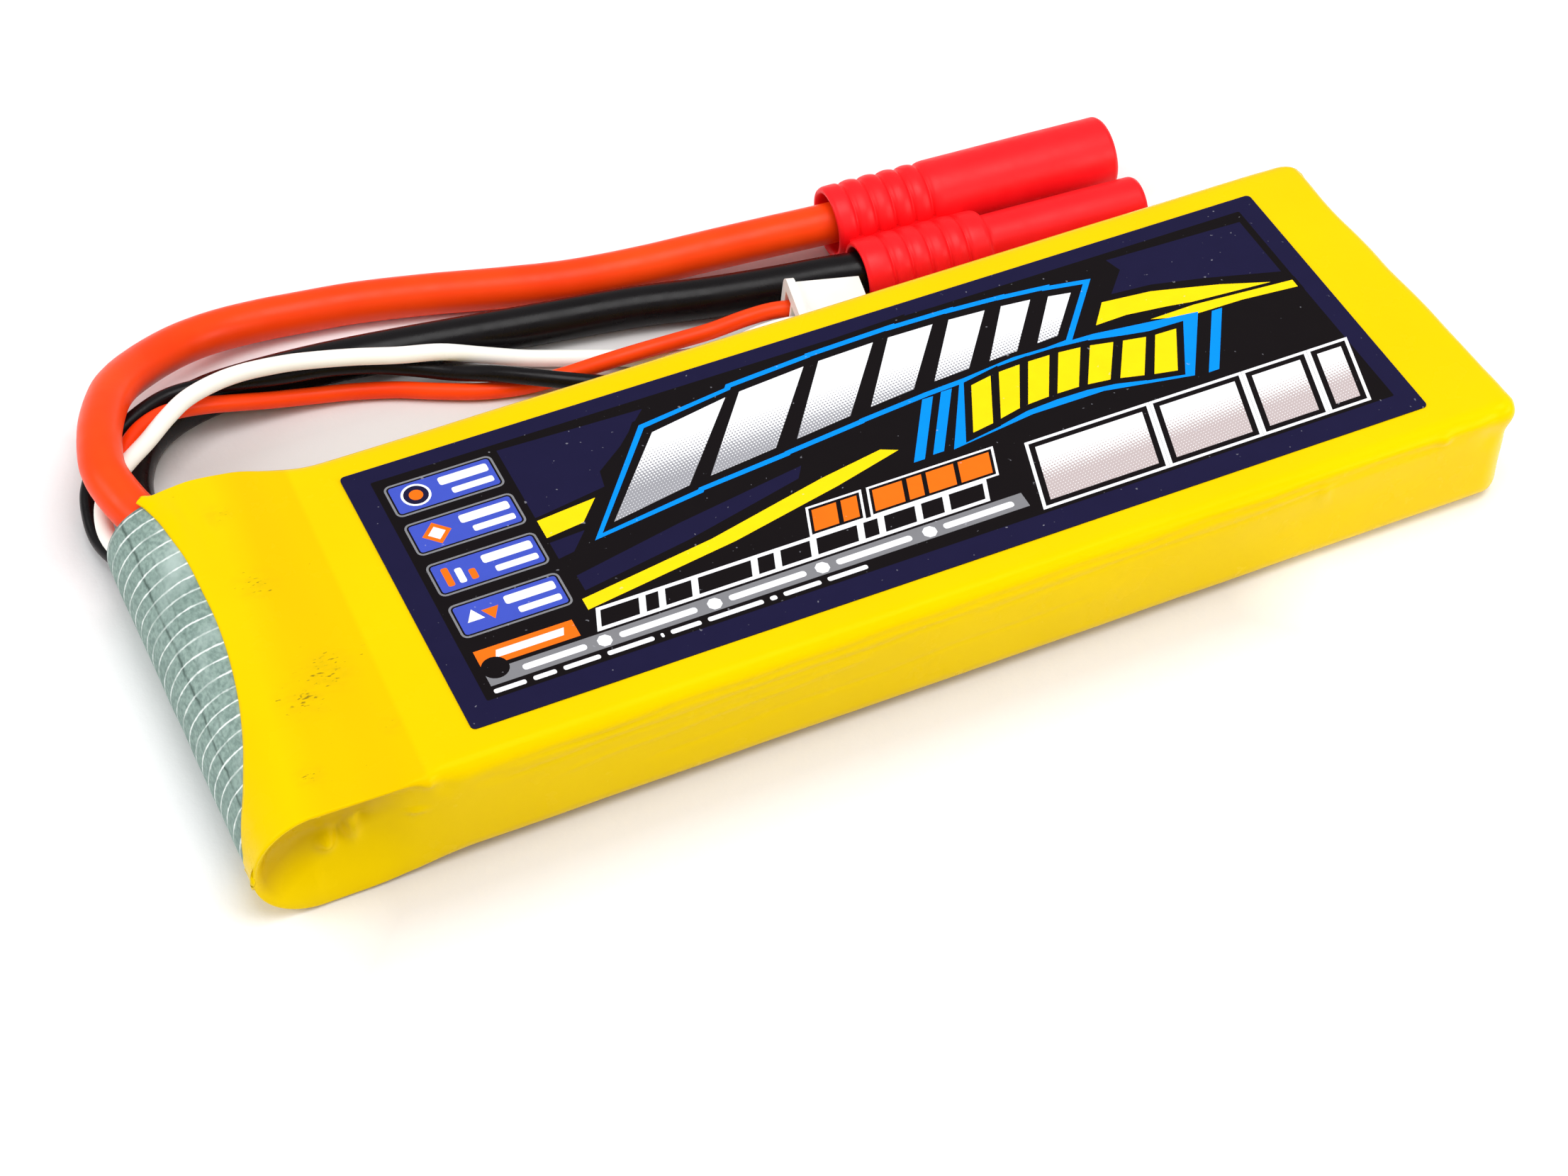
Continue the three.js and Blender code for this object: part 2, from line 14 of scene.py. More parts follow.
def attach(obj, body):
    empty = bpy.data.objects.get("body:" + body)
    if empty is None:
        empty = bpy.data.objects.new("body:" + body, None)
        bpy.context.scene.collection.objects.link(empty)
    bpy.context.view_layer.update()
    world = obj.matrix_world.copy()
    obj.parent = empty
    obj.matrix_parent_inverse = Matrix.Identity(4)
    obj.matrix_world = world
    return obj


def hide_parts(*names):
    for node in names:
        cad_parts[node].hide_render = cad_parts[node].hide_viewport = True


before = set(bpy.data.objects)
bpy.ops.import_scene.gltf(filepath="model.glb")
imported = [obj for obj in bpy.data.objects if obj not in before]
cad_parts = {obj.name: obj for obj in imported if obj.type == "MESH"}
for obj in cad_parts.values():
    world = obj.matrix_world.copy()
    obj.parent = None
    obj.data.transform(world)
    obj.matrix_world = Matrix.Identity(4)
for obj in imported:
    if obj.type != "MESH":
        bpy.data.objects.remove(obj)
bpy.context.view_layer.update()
MM = 0.001

# Driving sizes, as in the CAD model
HALF, SIDE = 66.5, 21.5  # half the pack's length and width
NOSE_R, NOSE_Z = 6.4, 6.5  # the half-round wire end's radius and the height of its middle
NOSE_X = -HALF + NOSE_R
FILM, PAPER = 0.25, 0.3  # thicknesses
POWER_WIRE, BALANCE_WIRE = 2.25, 0.9  # radii over the insulation


# ---------------------------------------------------------------- camera, light and floor
CAMERA_ANGLES = (-25.6727, 47.1068, 0.8528)  # azimuth, elevation and roll in degrees
CAMERA_PLACE = (-0.105082, -0.2103808, 0.2477521)
SENSOR, LENS = 36, 78.125
# The background's strength is a dot product with this direction, plus a level: brighter
# overhead and behind than from the front
SKY_DIRECTION, SKY_LEVEL = (-0.03, 0.06, 0.26), 0.35
LAMPS = {  # place, aim, size and power
    "overhead": ((0.1, -0.2, 1.05), (0, 0, 0), (0.7, 0.6), 7.0),
    "left": ((-0.95, 0.2, 0.7), (0, 0, 0), (0.5, 0.5), 4.4),
    "front": ((0.27, -0.24, 0.18), (0.05, 0, 0), (0.2, 0.16), 0.54),
}
FLOOR_HALF, FLOOR_Z = 4000, -0.02


def make_camera():
    data = bpy.data.cameras.new("camera")
    cam = bpy.data.objects.new("camera", data)
    bpy.context.scene.collection.objects.link(cam)
    az, el, roll = (math.radians(angle) for angle in CAMERA_ANGLES)
    back = Vector((math.sin(az) * math.cos(el), -math.cos(az) * math.cos(el), math.sin(el)))
    level = Vector((math.cos(az), math.sin(az), 0))
    upright = back.cross(level)
    right = math.cos(roll) * level + math.sin(roll) * upright
    up = math.cos(roll) * upright - math.sin(roll) * level
    turn = Matrix((right, up, back)).transposed().to_4x4()
    cam.matrix_world = Matrix.Translation(CAMERA_PLACE) @ turn
    data.sensor_width, data.lens = SENSOR, LENS
    data.clip_start, data.clip_end = 0.01, 20
    bpy.context.scene.camera = cam


def area_light(name, place, aim, size, power):
    data = bpy.data.lights.new(name, "AREA")
    data.shape = "RECTANGLE"
    data.size, data.size_y = size
    data.energy = power
    lamp = bpy.data.objects.new(name, data)
    lamp.location = place
    lamp.rotation_mode = "QUATERNION"
    lamp.rotation_quaternion = (Vector(place) - Vector(aim)).to_track_quat("Z", "Y")
    bpy.context.scene.collection.objects.link(lamp)


def make_light():
    scene = bpy.context.scene
    scene.view_settings.view_transform = "Standard"
    scene.world = bpy.data.worlds.new("studio")
    scene.world.use_nodes = True
    tree = scene.world.node_tree
    background = tree.nodes["Background"]
    background.inputs["Color"].default_value = (1, 1, 1, 1)
    place = tree.nodes.new("ShaderNodeTexCoord")
    aim = tree.nodes.new("ShaderNodeVectorMath")
    aim.operation = "DOT_PRODUCT"
    aim.inputs[1].default_value = SKY_DIRECTION
    level = tree.nodes.new("ShaderNodeMath")
    level.operation = "ADD"
    level.inputs[1].default_value = SKY_LEVEL
    tree.links.new(place.outputs["Generated"], aim.inputs[0])
    tree.links.new(aim.outputs["Value"], level.inputs[0])
    tree.links.new(level.outputs[0], background.inputs["Strength"])
    for name, lamp in LAMPS.items():
        area_light(name, *lamp)


def build_floor():
    low, high = -FLOOR_HALF, FLOOR_HALF
    corners = [(x, y, FLOOR_Z) for x, y in ((low, low), (high, low), (high, high), (low, high))]
    obj = new_mesh("floor", corners, [(0, 1, 2, 3)], [floor_material()], smooth=False)


# ---------------------------------------------------------------- materials
class Nodes:
    """Short names for building a material's node tree."""

    def __init__(self, name, **values):
        self.material = bpy.data.materials.new(name)
        self.material.use_nodes = True
        self.tree = self.material.node_tree
        self.shader = self.tree.nodes["Principled BSDF"]
        for key, value in values.items():
            self.shader.inputs[key.replace("_", " ")].default_value = value

    def add(self, kind, **values):
        """A node with its properties or its inputs' own values set."""
        node = self.tree.nodes.new(kind)
        for key, value in values.items():
            if key in node.inputs:
                node.inputs[key].default_value = value
            else:
                setattr(node, key, value)
        return node

    def feed(self, socket, value):
        """Links another node's output to a socket, or sets the socket's own value."""
        if isinstance(value, bpy.types.NodeSocket):
            self.tree.links.new(value, socket)
        else:
            socket.default_value = (*value, 1) if isinstance(value, tuple) else value

    def math(self, operation, *values):
        node = self.add("ShaderNodeMath", operation=operation)
        for socket, value in zip(node.inputs, values):
            self.feed(socket, value)
        return node.outputs[0]

    def plus(self, a, b):
        return self.math("ADD", a, b)

    def minus(self, a, b):
        return self.math("SUBTRACT", a, b)

    def times(self, a, b):
        return self.math("MULTIPLY", a, b)

    def size_of(self, a):
        return self.math("ABSOLUTE", a)

    def position(self):
        return self.add("ShaderNodeNewGeometry").outputs["Position"]

    def split(self, vector=None):
        node = self.add("ShaderNodeSeparateXYZ")
        self.feed(node.inputs[0], vector or self.position())
        return node.outputs

    def distance(self, vector, place):
        """From a vector to a place in millimetres."""
        node = self.add("ShaderNodeVectorMath", operation="DISTANCE")
        self.feed(node.inputs[0], vector)
        node.inputs[1].default_value = [v * MM for v in place]
        return node.outputs["Value"]

    def mapped(self, **values):
        """The position, stretched or turned."""
        node = self.add("ShaderNodeMapping", **values)
        self.feed(node.inputs["Vector"], self.position())
        return node.outputs["Vector"]

    def noise(self, scale, detail, stretch=None):
        node = self.add("ShaderNodeTexNoise", Scale=scale, Detail=detail)
        self.feed(node.inputs["Vector"], self.mapped(Scale=stretch) if stretch else self.position())
        return node.outputs["Fac"]

    def ramp(self, factor, *stops):
        node = self.add("ShaderNodeValToRGB")
        elements = node.color_ramp.elements
        while len(elements) < len(stops):
            elements.new(0.5)
        for element, (place, colour) in zip(elements, stops):
            element.position = place
            element.color = (*colour, 1)
        self.feed(node.inputs[0], factor)
        return node.outputs["Color"]

    def clouds(self, scale, detail, dark, light):
        return self.ramp(self.noise(scale, detail), (0.3, dark), (0.7, light))

    def range(self, value, low, high, to_low, to_high):
        node = self.add("ShaderNodeMapRange")
        for socket, number in zip(node.inputs, (value, low, high, to_low, to_high)):
            self.feed(socket, number)
        return node.outputs["Result"]

    def mix(self, factor, a, b):
        node = self.add("ShaderNodeMix", data_type="RGBA")
        for index, value in ((0, factor), (6, a), (7, b)):
            self.feed(node.inputs[index], value)
        return node.outputs[2]

    def colour(self, output):
        self.feed(self.shader.inputs["Base Color"], output)

    def roughness(self, factor, low, high):
        self.feed(self.shader.inputs["Roughness"], self.range(factor, 0.3, 0.7, low, high))

    def bump(self, height, distance, strength, previous=None):
        node = self.add("ShaderNodeBump", Strength=strength, Distance=distance)
        self.feed(node.inputs["Height"], height)
        if previous:
            self.feed(node.inputs["Normal"], previous)
        self.feed(self.shader.inputs["Normal"], node.outputs["Normal"])
        return node.outputs["Normal"]

    def surface(self, gloss, fine, coarse):
        """Uneven gloss (scale, detail, low, high) and two bumps (scale, detail, height, strength)."""
        self.roughness(self.noise(*gloss[:2]), *gloss[2:])
        normal = self.bump(self.noise(*fine[:2]), *fine[2:])
        self.bump(self.noise(*coarse[:2]), *coarse[2:], normal)


def linear(r, g, b):
    """A display colour from 0 to 255 as scene-linear values."""
    return tuple(
        v / 255 / 12.92 if v <= 10 else ((v / 255 + 0.055) / 1.055) ** 2.4 for v in (r, g, b))


# Bumps on the roll's flat end left bright by lifting the painted shade off them: x, z and size in
# millimetres
LIT_BUMPS = ((-58.9, 6.6, 0.9), (-56.6, 7.0, 0.8), (-56.1, 8.3, 0.7))
# Clusters of grime on top of the wire end: x, y and size in millimetres
GRIME = ((-55.8, 17.6, 1.3), (-55.6, 7.4, 1.9), (-53.3, -5.6, 2.5), (-56.2, -7.9, 2.3),
         (-58.9, -16.9, 1.3), (-50.0, -14.0, 1.0))
GRIME_Z = 12.7


def slope_shade_mask(n, x, y, z):
    """Painted shade where the top slopes down from the wire end to the cells."""
    wire_end = n.range(n.minus(x, n.times(y, 0.15)), -0.0585, -0.0555, 0.0, 1.0)
    cell_end = n.range(n.minus(x, n.times(y, 0.03)), -0.0488, -0.0483, 1.0, 0.0)
    return n.times(n.times(wire_end, cell_end), n.range(z, 0.0112, 0.012, 0.0, 1.0))


def recess_shade_mask(n, x, z):
    """Painted shade over the flat end of the roll, left off the bumps where the film presses out."""
    ahead = n.math("MAXIMUM", n.minus(NOSE_X * MM, x), 0.0)
    above = n.minus(z, NOSE_Z * MM)
    from_middle = n.math("SQRT", n.plus(n.times(ahead, ahead), n.times(above, above)))
    floor_line = n.minus(z, n.times(n.plus(x, 0.0728), 0.45))
    recess_shade = n.times(n.range(from_middle, 0.0052, 0.0062, 1.0, 0.0),
                   n.range(floor_line, -0.0012, 0.0022, 0.0, 1.0))
    recess_shade = n.times(recess_shade, n.range(x, -0.055, -0.050, 1.0, 0.0))
    seen_from_side = n.add("ShaderNodeCombineXYZ")
    n.feed(seen_from_side.inputs[0], x)
    n.feed(seen_from_side.inputs[2], z)
    # Painted highlight: the shade is lifted off each bump
    for cx, cz, size in LIT_BUMPS:
        away = n.distance(seen_from_side.outputs[0], (cx, 0, cz))
        recess_shade = n.times(recess_shade, n.range(away, 0.4 * size * MM, 1.3 * size * MM, 0.1, 1.0))
    return recess_shade


def grime_mask(n):
    clusters = 0.0
    for cx, cy, size in GRIME:
        away = n.distance(n.position(), (cx, cy, GRIME_Z))
        near = n.range(away, 0.2 * size * MM, 1.5 * size * MM, 0.62 + 0.15 * size, 0.0)
        clusters = n.math("MAXIMUM", near, clusters)
    return clusters


def film_material():
    n = Nodes("sleeve_film", IOR=1.2, Specular_IOR_Level=0.65, Specular_Tint=(1.0, 0.8, 0.05, 1.0))
    base = n.clouds(60, 4, linear(233, 196, 0), linear(237, 201, 0))
    x, y, z = n.split()
    # Painted shade on the top's slope from the wire end down to the cells
    base = n.mix(n.times(slope_shade_mask(n, x, y, z), 0.7), base, linear(230, 186, 0))
    # Painted shade over the roll's flat end, behind its rim
    base = n.mix(n.times(recess_shade_mask(n, x, z), 0.85), base, linear(192, 154, 0))
    # Grime caught in the dip: streaks in a faint haze
    grime = grime_mask(n)
    dip = n.times(n.range(x, -0.062, -0.060, 0.0, 1.0), n.range(x, -0.0485, -0.047, 1.0, 0.0))
    cloudy = n.range(n.noise(1300, 4, (0.6, 1.2, 1)), 0.4, 0.62, 0.05, 0.32)
    base = n.mix(n.times(n.times(grime, dip), cloudy), base, linear(186, 158, 14))
    level = n.range(grime, 0.0, 1.0, 0.74, 0.56)
    streaks = n.range(n.minus(n.noise(3000, 4, (0.45, 1.3, 1)), level), 0.0, 0.07, 0.0, 1.0)
    n.colour(n.mix(n.times(n.times(streaks, dip), 0.75), base, linear(112, 92, 22)))
    n.surface((220, 4, 0.2, 0.3), (1500, 3, 0.00002, 0.3), (170, 3, 0.0002, 0.3))
    return n.material


def paper_material():
    """Plain insulating paper, for the hidden pad at the tail."""
    n = Nodes("fish_paper", Roughness=0.75, Specular_IOR_Level=0.35)
    fibre = n.noise(420, 5, (1, 0.35, 1))
    base = n.ramp(fibre, (0.30, linear(84, 104, 100)), (0.5, linear(120, 141, 134)),
                  (0.72, linear(150, 168, 160)))
    n.colour(n.mix(n.range(n.noise(90, 3), 0.4, 0.7, 0.0, 0.35), base, linear(96, 118, 112)))
    fine = n.bump(fibre, 0.0001, 0.5)
    n.bump(n.noise(2600, 2), 0.00003, 0.3, fine)
    return n.material


THREAD_PITCH = 1.787 * MM
# Painted shade of creases along the paper's bend: height and width in millimetres, and strength of the
# shade
PAPER_CREASE_SHADES = ((11.0, 0.17, 0.85), (11.95, 0.09, 0.3), (9.75, 0.1, 0.25))


def paper_threads(n, y):
    """White threads laid round the wire end, wandering, ragged and worn."""
    steps = n.plus(n.times(y, 1 / THREAD_PITCH), n.times(n.noise(90, 2), 0.8))
    part = n.size_of(n.minus(n.math("FRACT", steps), 0.5))
    ragged = n.plus(part, n.times(n.minus(n.noise(1900, 3), 0.5), 0.14))
    worn = n.range(n.noise(420, 4), 0.36, 0.56, 0.3, 1.0)
    return n.times(n.range(ragged, 0.025, 0.085, 1.0, 0.0), worn)


def threaded_paper_material():
    """Grey-green insulating paper with white threads laid round the wire end."""
    n = Nodes("threaded_paper", Roughness=0.7, Specular_IOR_Level=0.2)
    fibre = n.noise(2600, 4, (1, 0.7, 1))
    base = n.ramp(fibre, (0.36, linear(116, 138, 131)), (0.64, linear(146, 168, 159)))
    _, y, z = n.split()
    # Painted highlight: paler and cloudy towards the top of the bend by the sleeve, leaving the outside
    # of the bend darker
    cloud = n.range(n.noise(260, 4, (1, 0.7, 1)), 0.45, 0.68, 0.0, 1.0)
    upper = n.range(z, 0.0108, 0.0124, 0.1, 0.75)
    base = n.mix(n.times(cloud, upper), base, linear(186, 204, 198))
    base = n.mix(n.range(n.noise(150, 3), 0.45, 0.7, 0.0, 0.35), base, linear(106, 130, 122))
    # Painted shade of creases along the bend, the first one darkest
    level = n.minus(z, n.times(y, 0.023))
    for i, (height, width, depth) in enumerate(PAPER_CREASE_SHADES):
        line = n.plus(level, n.times(n.noise(300 + 60 * i, 3, (1, 1.2, 1)), 0.0007))
        strength = n.range(n.size_of(n.minus(line, height * MM)), 0.0, width * MM, depth, 0.0)
        # The painted crease shade fades in patches along its length
        worn = n.range(n.noise(500 + 40 * i, 2), 0.35, 0.6, 0.35, 1.0)
        base = n.mix(n.times(strength, worn), base, linear(52, 70, 64))
    threads = paper_threads(n, y)
    n.colour(n.mix(threads, base, linear(236, 244, 240)))
    fine = n.bump(fibre, 0.00005, 0.5)
    n.bump(threads, 0.00012, 0.5, fine)
    return n.material


def silicone_material(name, dark, light, gloss=0.36):
    n = Nodes(name, Specular_IOR_Level=0.16)
    n.colour(n.clouds(110, 3, dark, light))
    n.surface((500, 3, gloss - 0.05, gloss + 0.07), (3500, 2, 0.00002, 0.3), (90, 1, 0.00004, 0.1))
    return n.material


def moulded_material(name, dark, light, specular):
    n = Nodes(name, Specular_IOR_Level=specular, Coat_Weight=0.03, Coat_Roughness=0.3)
    n.colour(n.clouds(120, 3, dark, light))
    n.surface((700, 4, 0.36, 0.5), (2500, 3, 0.00003, 0.3), (200, 2, 0.00008, 0.15))
    return n.material


def metal_material(name, dark, light, gloss, stretch=(1, 1, 1)):
    n = Nodes(name, Metallic=1.0)
    grain = n.noise(900, 4, stretch)
    n.colour(n.ramp(grain, (0.3, dark), (0.7, light)))
    n.roughness(grain, gloss - 0.1, gloss + 0.12)
    n.bump(grain, 0.00004, 0.4)
    return n.material


def board_material():
    n = Nodes("board_laminate", Roughness=0.45, Coat_Weight=0.3, Coat_Roughness=0.2)
    n.colour(n.ramp(n.noise(700, 3), (0.35, linear(34, 82, 50)), (0.65, linear(50, 104, 64))))
    weave = n.add("ShaderNodeTexWave", Scale=900.0, Distortion=1.0)
    n.feed(weave.inputs["Vector"], n.position())
    n.bump(weave.outputs["Fac"], 0.00002, 0.3)
    return n.material


def tape_material():
    n = Nodes("polyimide_tape", Roughness=0.3, Coat_Weight=0.6, Coat_Roughness=0.1)
    n.colour(n.clouds(300, 3, linear(176, 104, 20), linear(214, 140, 40)))
    n.bump(n.noise(350, 3), 0.0001, 0.3)
    return n.material


def foam_material():
    n = Nodes("foam_pad", Roughness=0.9, Sheen_Weight=0.3, Sheen_Roughness=0.5)
    cells = n.add("ShaderNodeTexVoronoi", Scale=2500.0)
    n.feed(cells.inputs["Vector"], n.position())
    depth = cells.outputs["Distance"]
    n.colour(n.ramp(depth, (0.1, linear(120, 126, 120)), (0.6, linear(160, 168, 160))))
    n.bump(depth, 0.0002, 0.6)
    return n.material


def print_material(name, colour, halftone=None):
    """Printed ink on a satin label; halftone is a second colour that comes in as fine dots, with
    the Y where it starts and the Y where it is full."""
    n = Nodes(name, Coat_Weight=0.02, Coat_Roughness=0.3, Specular_IOR_Level=0.06)
    base = n.clouds(500, 4, tuple(v * 0.94 for v in colour), colour)
    if halftone:
        dots, top, bottom = halftone
        u, v, _ = n.split(n.mapped(Rotation=(0, 0, math.radians(38)), Scale=(13000,) * 3))
        wave = n.times(n.math("SINE", u), n.math("SINE", v))
        level = n.range(n.split()[1], bottom, top, -0.8, 1.15)
        base = n.mix(n.math("GREATER_THAN", wave, level), base, dots)
    dust = n.range(n.noise(1500, 2), 0.72, 0.76, 0.0, 0.3)
    n.colour(n.mix(dust, base, linear(190, 190, 200)))
    n.surface((300, 3, 0.36, 0.5), (2800, 3, 0.00002, 0.3), (120, 2, 0.0001, 0.25))
    return n.material


def floor_material():
    n = Nodes("floor", Roughness=0.75, Specular_IOR_Level=0.2)
    sheet = n.clouds(35, 4, (0.89, 0.89, 0.895), (0.92, 0.92, 0.92))
    # Painted shade: the sheet is darker and a little warm close to the pack, where its shadows fall
    x, y, _ = n.split()
    past_x = n.minus(n.size_of(n.minus(x, -0.010)), 0.044)
    past_y = n.minus(n.size_of(n.minus(y, 0.006)), 0.031)
    away = n.math("MAXIMUM", past_x, past_y)
    n.colour(n.mix(n.range(away, 0.0, 0.011, 0.8, 0.0), sheet, (0.64, 0.61, 0.6)))
    coarse = n.bump(n.noise(420, 4, (1, 0.6, 1)), 0.00025, 0.35)
    n.bump(n.noise(1800, 3), 0.00006, 0.4, coarse)
    return n.material


# ---------------------------------------------------------------- mesh helpers
def new_mesh(name, verts, faces, materials, slots=None, smooth=True):
    mesh = bpy.data.meshes.new(name)
    mesh.from_pydata([Vector(v) * MM for v in verts], [], faces)
    for material in materials:
        mesh.materials.append(material)
    if slots:
        mesh.polygons.foreach_set("material_index", slots)
    if smooth:
        mesh.polygons.foreach_set("use_smooth", [True] * len(mesh.polygons))
    mesh.update()
    obj = bpy.data.objects.new(name, mesh)
    bpy.context.scene.collection.objects.link(obj)
    return obj


def stand_in(obj, node):
    """Rides the pack in place of a CAD node, which it hides."""
    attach(obj, "root")
    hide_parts(node)
    return obj


def grid_faces(rows, width, closed):
    """Quads between neighbouring rows of points; a closed row joins its last point to its first."""
    faces = []
    for i in range(rows - 1):
        for j in range(width if closed else width - 1):
            k = (j + 1) % width
            faces.append((i * width + j, i * width + k, (i + 1) * width + k, (i + 1) * width + j))
    return faces


def thicken(obj, thickness, offset):
    """Gives a sheet its thickness: an offset of -1 goes inwards, 1 outwards."""
    solid = obj.modifiers.new("thickness", "SOLIDIFY")
    solid.thickness, solid.offset = thickness * MM, offset
    apply_modifiers(obj)


def apply_modifiers(obj):
    graph = bpy.context.evaluated_depsgraph_get()
    mesh = bpy.data.meshes.new_from_object(obj.evaluated_get(graph))
    obj.modifiers.clear()
    obj.data = mesh
    return obj


def tidy_mesh(obj, distance=1e-6):
    bm = bmesh.new()
    bm.from_mesh(obj.data)
    bmesh.ops.remove_doubles(bm, verts=bm.verts, dist=distance)
    bmesh.ops.recalc_face_normals(bm, faces=bm.faces)
    bm.to_mesh(obj.data)
    bm.free()


def lerp(a, b, t):
    return a + (b - a) * t


def smoothstep(a, b, x):
    t = max(0.0, min(1.0, (x - a) / (b - a)))
    return t * t * (3 - 2 * t)


def lookup(table, x):
    """A smooth curve through a table of (x, value) rows."""
    if x <= table[0][0]:
        return table[0][1]
    for i in range(len(table) - 1):
        x0, v0 = table[i]
        x1, v1 = table[i + 1]
        if x <= x1:
            m0 = slope(table, i)
            m1 = slope(table, i + 1)
            h = x1 - x0
            t = (x - x0) / h
            return ((2 * t**3 - 3 * t**2 + 1) * v0 + (t**3 - 2 * t**2 + t) * h * m0
                    + (3 * t**2 - 2 * t**3) * v1 + (t**3 - t**2) * h * m1)
    return table[-1][1]


def slope(table, i):
    if i in (0, len(table) - 1):
        return 0.0
    (xa, va), (xb, vb) = table[i - 1], table[i + 1]
    return (vb - va) / (xb - xa)


# ---------------------------------------------------------------- shrink sleeve
# The section round the sleeve: its parts in order, with the number of columns on each
SECTION = {"top": 60, "near_top": 9, "near": 40, "near_bottom": 7, "bottom": 36, "far_bottom": 7,
           "far": 12, "far_top": 7}
COLUMNS = [(part, i / count) for part, count in SECTION.items() for i in range(count)]
FAR_SHARE = {"far_bottom": (0.0, 0.1), "far": (0.1, 0.9), "far_top": (0.9, 1.0)}
WIRE_END_RINGS, CELL_RINGS, TAIL_EDGE_RINGS, LIP_RINGS = 64, 140, 9, 7
CELLS_X = -44.0  # the section is the same from here to the tail
TAIL_EDGE = 1.3  # radius of the tail's top and bottom edges
TAIL_CORNER = {"near": 2.6, "far": 3.4}  # seen from above
LIP_INSET, LIP_DROP = 6.5, 3.3  # how far the lip reaches in over the tail's face
MOUTH = [
    (-21.5, -67.5), (-19.5, -66.6), (-18.0, -66.0), (-14.5, -64.5), (-10.6, -63.05), (-5.6, -61.75),
    (0.0, -60.85), (5.0, -60.45), (9.0, -60.45), (13.5, -60.55), (16.5, -61.0), (19.2, -61.5),
    (21.6, -62.3), (22.4, -63.0), (23.5, -63.6)]
SIDE_FLARE = [
    (-66.5, 0.7), (-62.1, 1.0), (-59.0, 1.6), (-56.7, 1.85), (-52.7, 1.45), (-48.7, 0.65), (-45.5, 0.1),
    (-43.0, 0.0)]


def top_height(x):
    """Height of the sleeve's top along its middle, for the flat part past the nose."""
    return lookup([
        (-60.1, 12.9), (-57.0, 12.78), (-53.0, 12.56), (-50.2, 12.43), (-48.4, 12.46),
        (-44.0, 12.46), (60.0, 12.45), (66.5, 12.4)], x)


def bottom_height(x):
    return lookup([(-60.1, 0.1), (-56, 0.12), (-52, 0.2), (-48, 0.17), (-44, 0.15), (66.5, 0.15)], x)


def side_point(t, top):
    """The side view: t is the distance from the wire end's tip along the outline."""
    quarter = NOSE_R * math.pi / 2
    if t < quarter:
        rise = NOSE_R * math.sin(t / NOSE_R)
        return NOSE_X - NOSE_R * math.cos(t / NOSE_R), NOSE_Z + rise if top else NOSE_Z - rise
    x = NOSE_X + (t - quarter)
    return x, top_height(x) if top else bottom_height(x)


def t_of_x(x):
    quarter = NOSE_R * math.pi / 2
    if x >= NOSE_X:
        return quarter + x - NOSE_X
    return NOSE_R * math.acos(max(-1.0, min(1.0, (NOSE_X - x) / NOSE_R)))


def mouth_t(y):
    x = lookup(MOUTH, y)
    return t_of_x(x) if x > -66.49 else 0.0


def column_start(part, u):
    """Distance t at which this column of the sleeve starts at the wire end."""
    if part.startswith("near"):
        return 0.0
    if part == "top":
        return mouth_t(lerp(SIDE + 0.3, -SIDE, u))
    if part == "bottom":
        return mouth_t(lerp(-SIDE, SIDE + 0.3, u))
    share = lerp(*FAR_SHARE[part], u)
    return t_of_x(-56.4 - 5.8 * abs(2 * share - 1) ** 1.7)


def section_point(x, zt, zb, part, u, inset=0.0, drop=0.0):
    """A point of the section between heights zt and zb, moved in by inset and down by drop."""
    limit = max(0.02, 0.45 * (zt - zb - 2 * drop))
    top_edge = lerp(0.32, 1.8, smoothstep(-53, -46, x))
    bottom_edge = lerp(0.45, 2.0, smoothstep(-54, -45, x))
    rt, rb = (min(max(r - max(inset, drop), 0.25), limit) for r in (top_edge, bottom_edge))
    side, zt, zb = SIDE - inset, zt - drop, zb + 1.6 * drop
    s, c = math.sin(u * math.pi / 2), math.cos(u * math.pi / 2)
    y, z, flared = {
        "top": (lerp(side - rt, -side + rt, u), zt, smoothstep(0.25, 0.0, u)),
        "near_top": (-side + rt - rt * s, zt - rt + rt * c, 0.0),
        "near": (-side, lerp(zt - rt, zb + rb, u), 0.0),
        "near_bottom": (-side + rb - rb * c, zb + rb - rb * s, 0.0),
        "bottom": (lerp(-side + rb, side - rb, u), zb, 0.3 * smoothstep(0.75, 1.0, u)),
        "far_bottom": (side - rb + rb * s, zb + rb - rb * c, 0.3),
        "far": (side, lerp(zb + rb, zt - rt, u), lerp(0.3, 1.0, u)),
        "far_top": (side - rt + rt * c, zt - rt + rt * s, 1.0),
    }[part]
    return y + flared * lookup(SIDE_FLARE, x), z


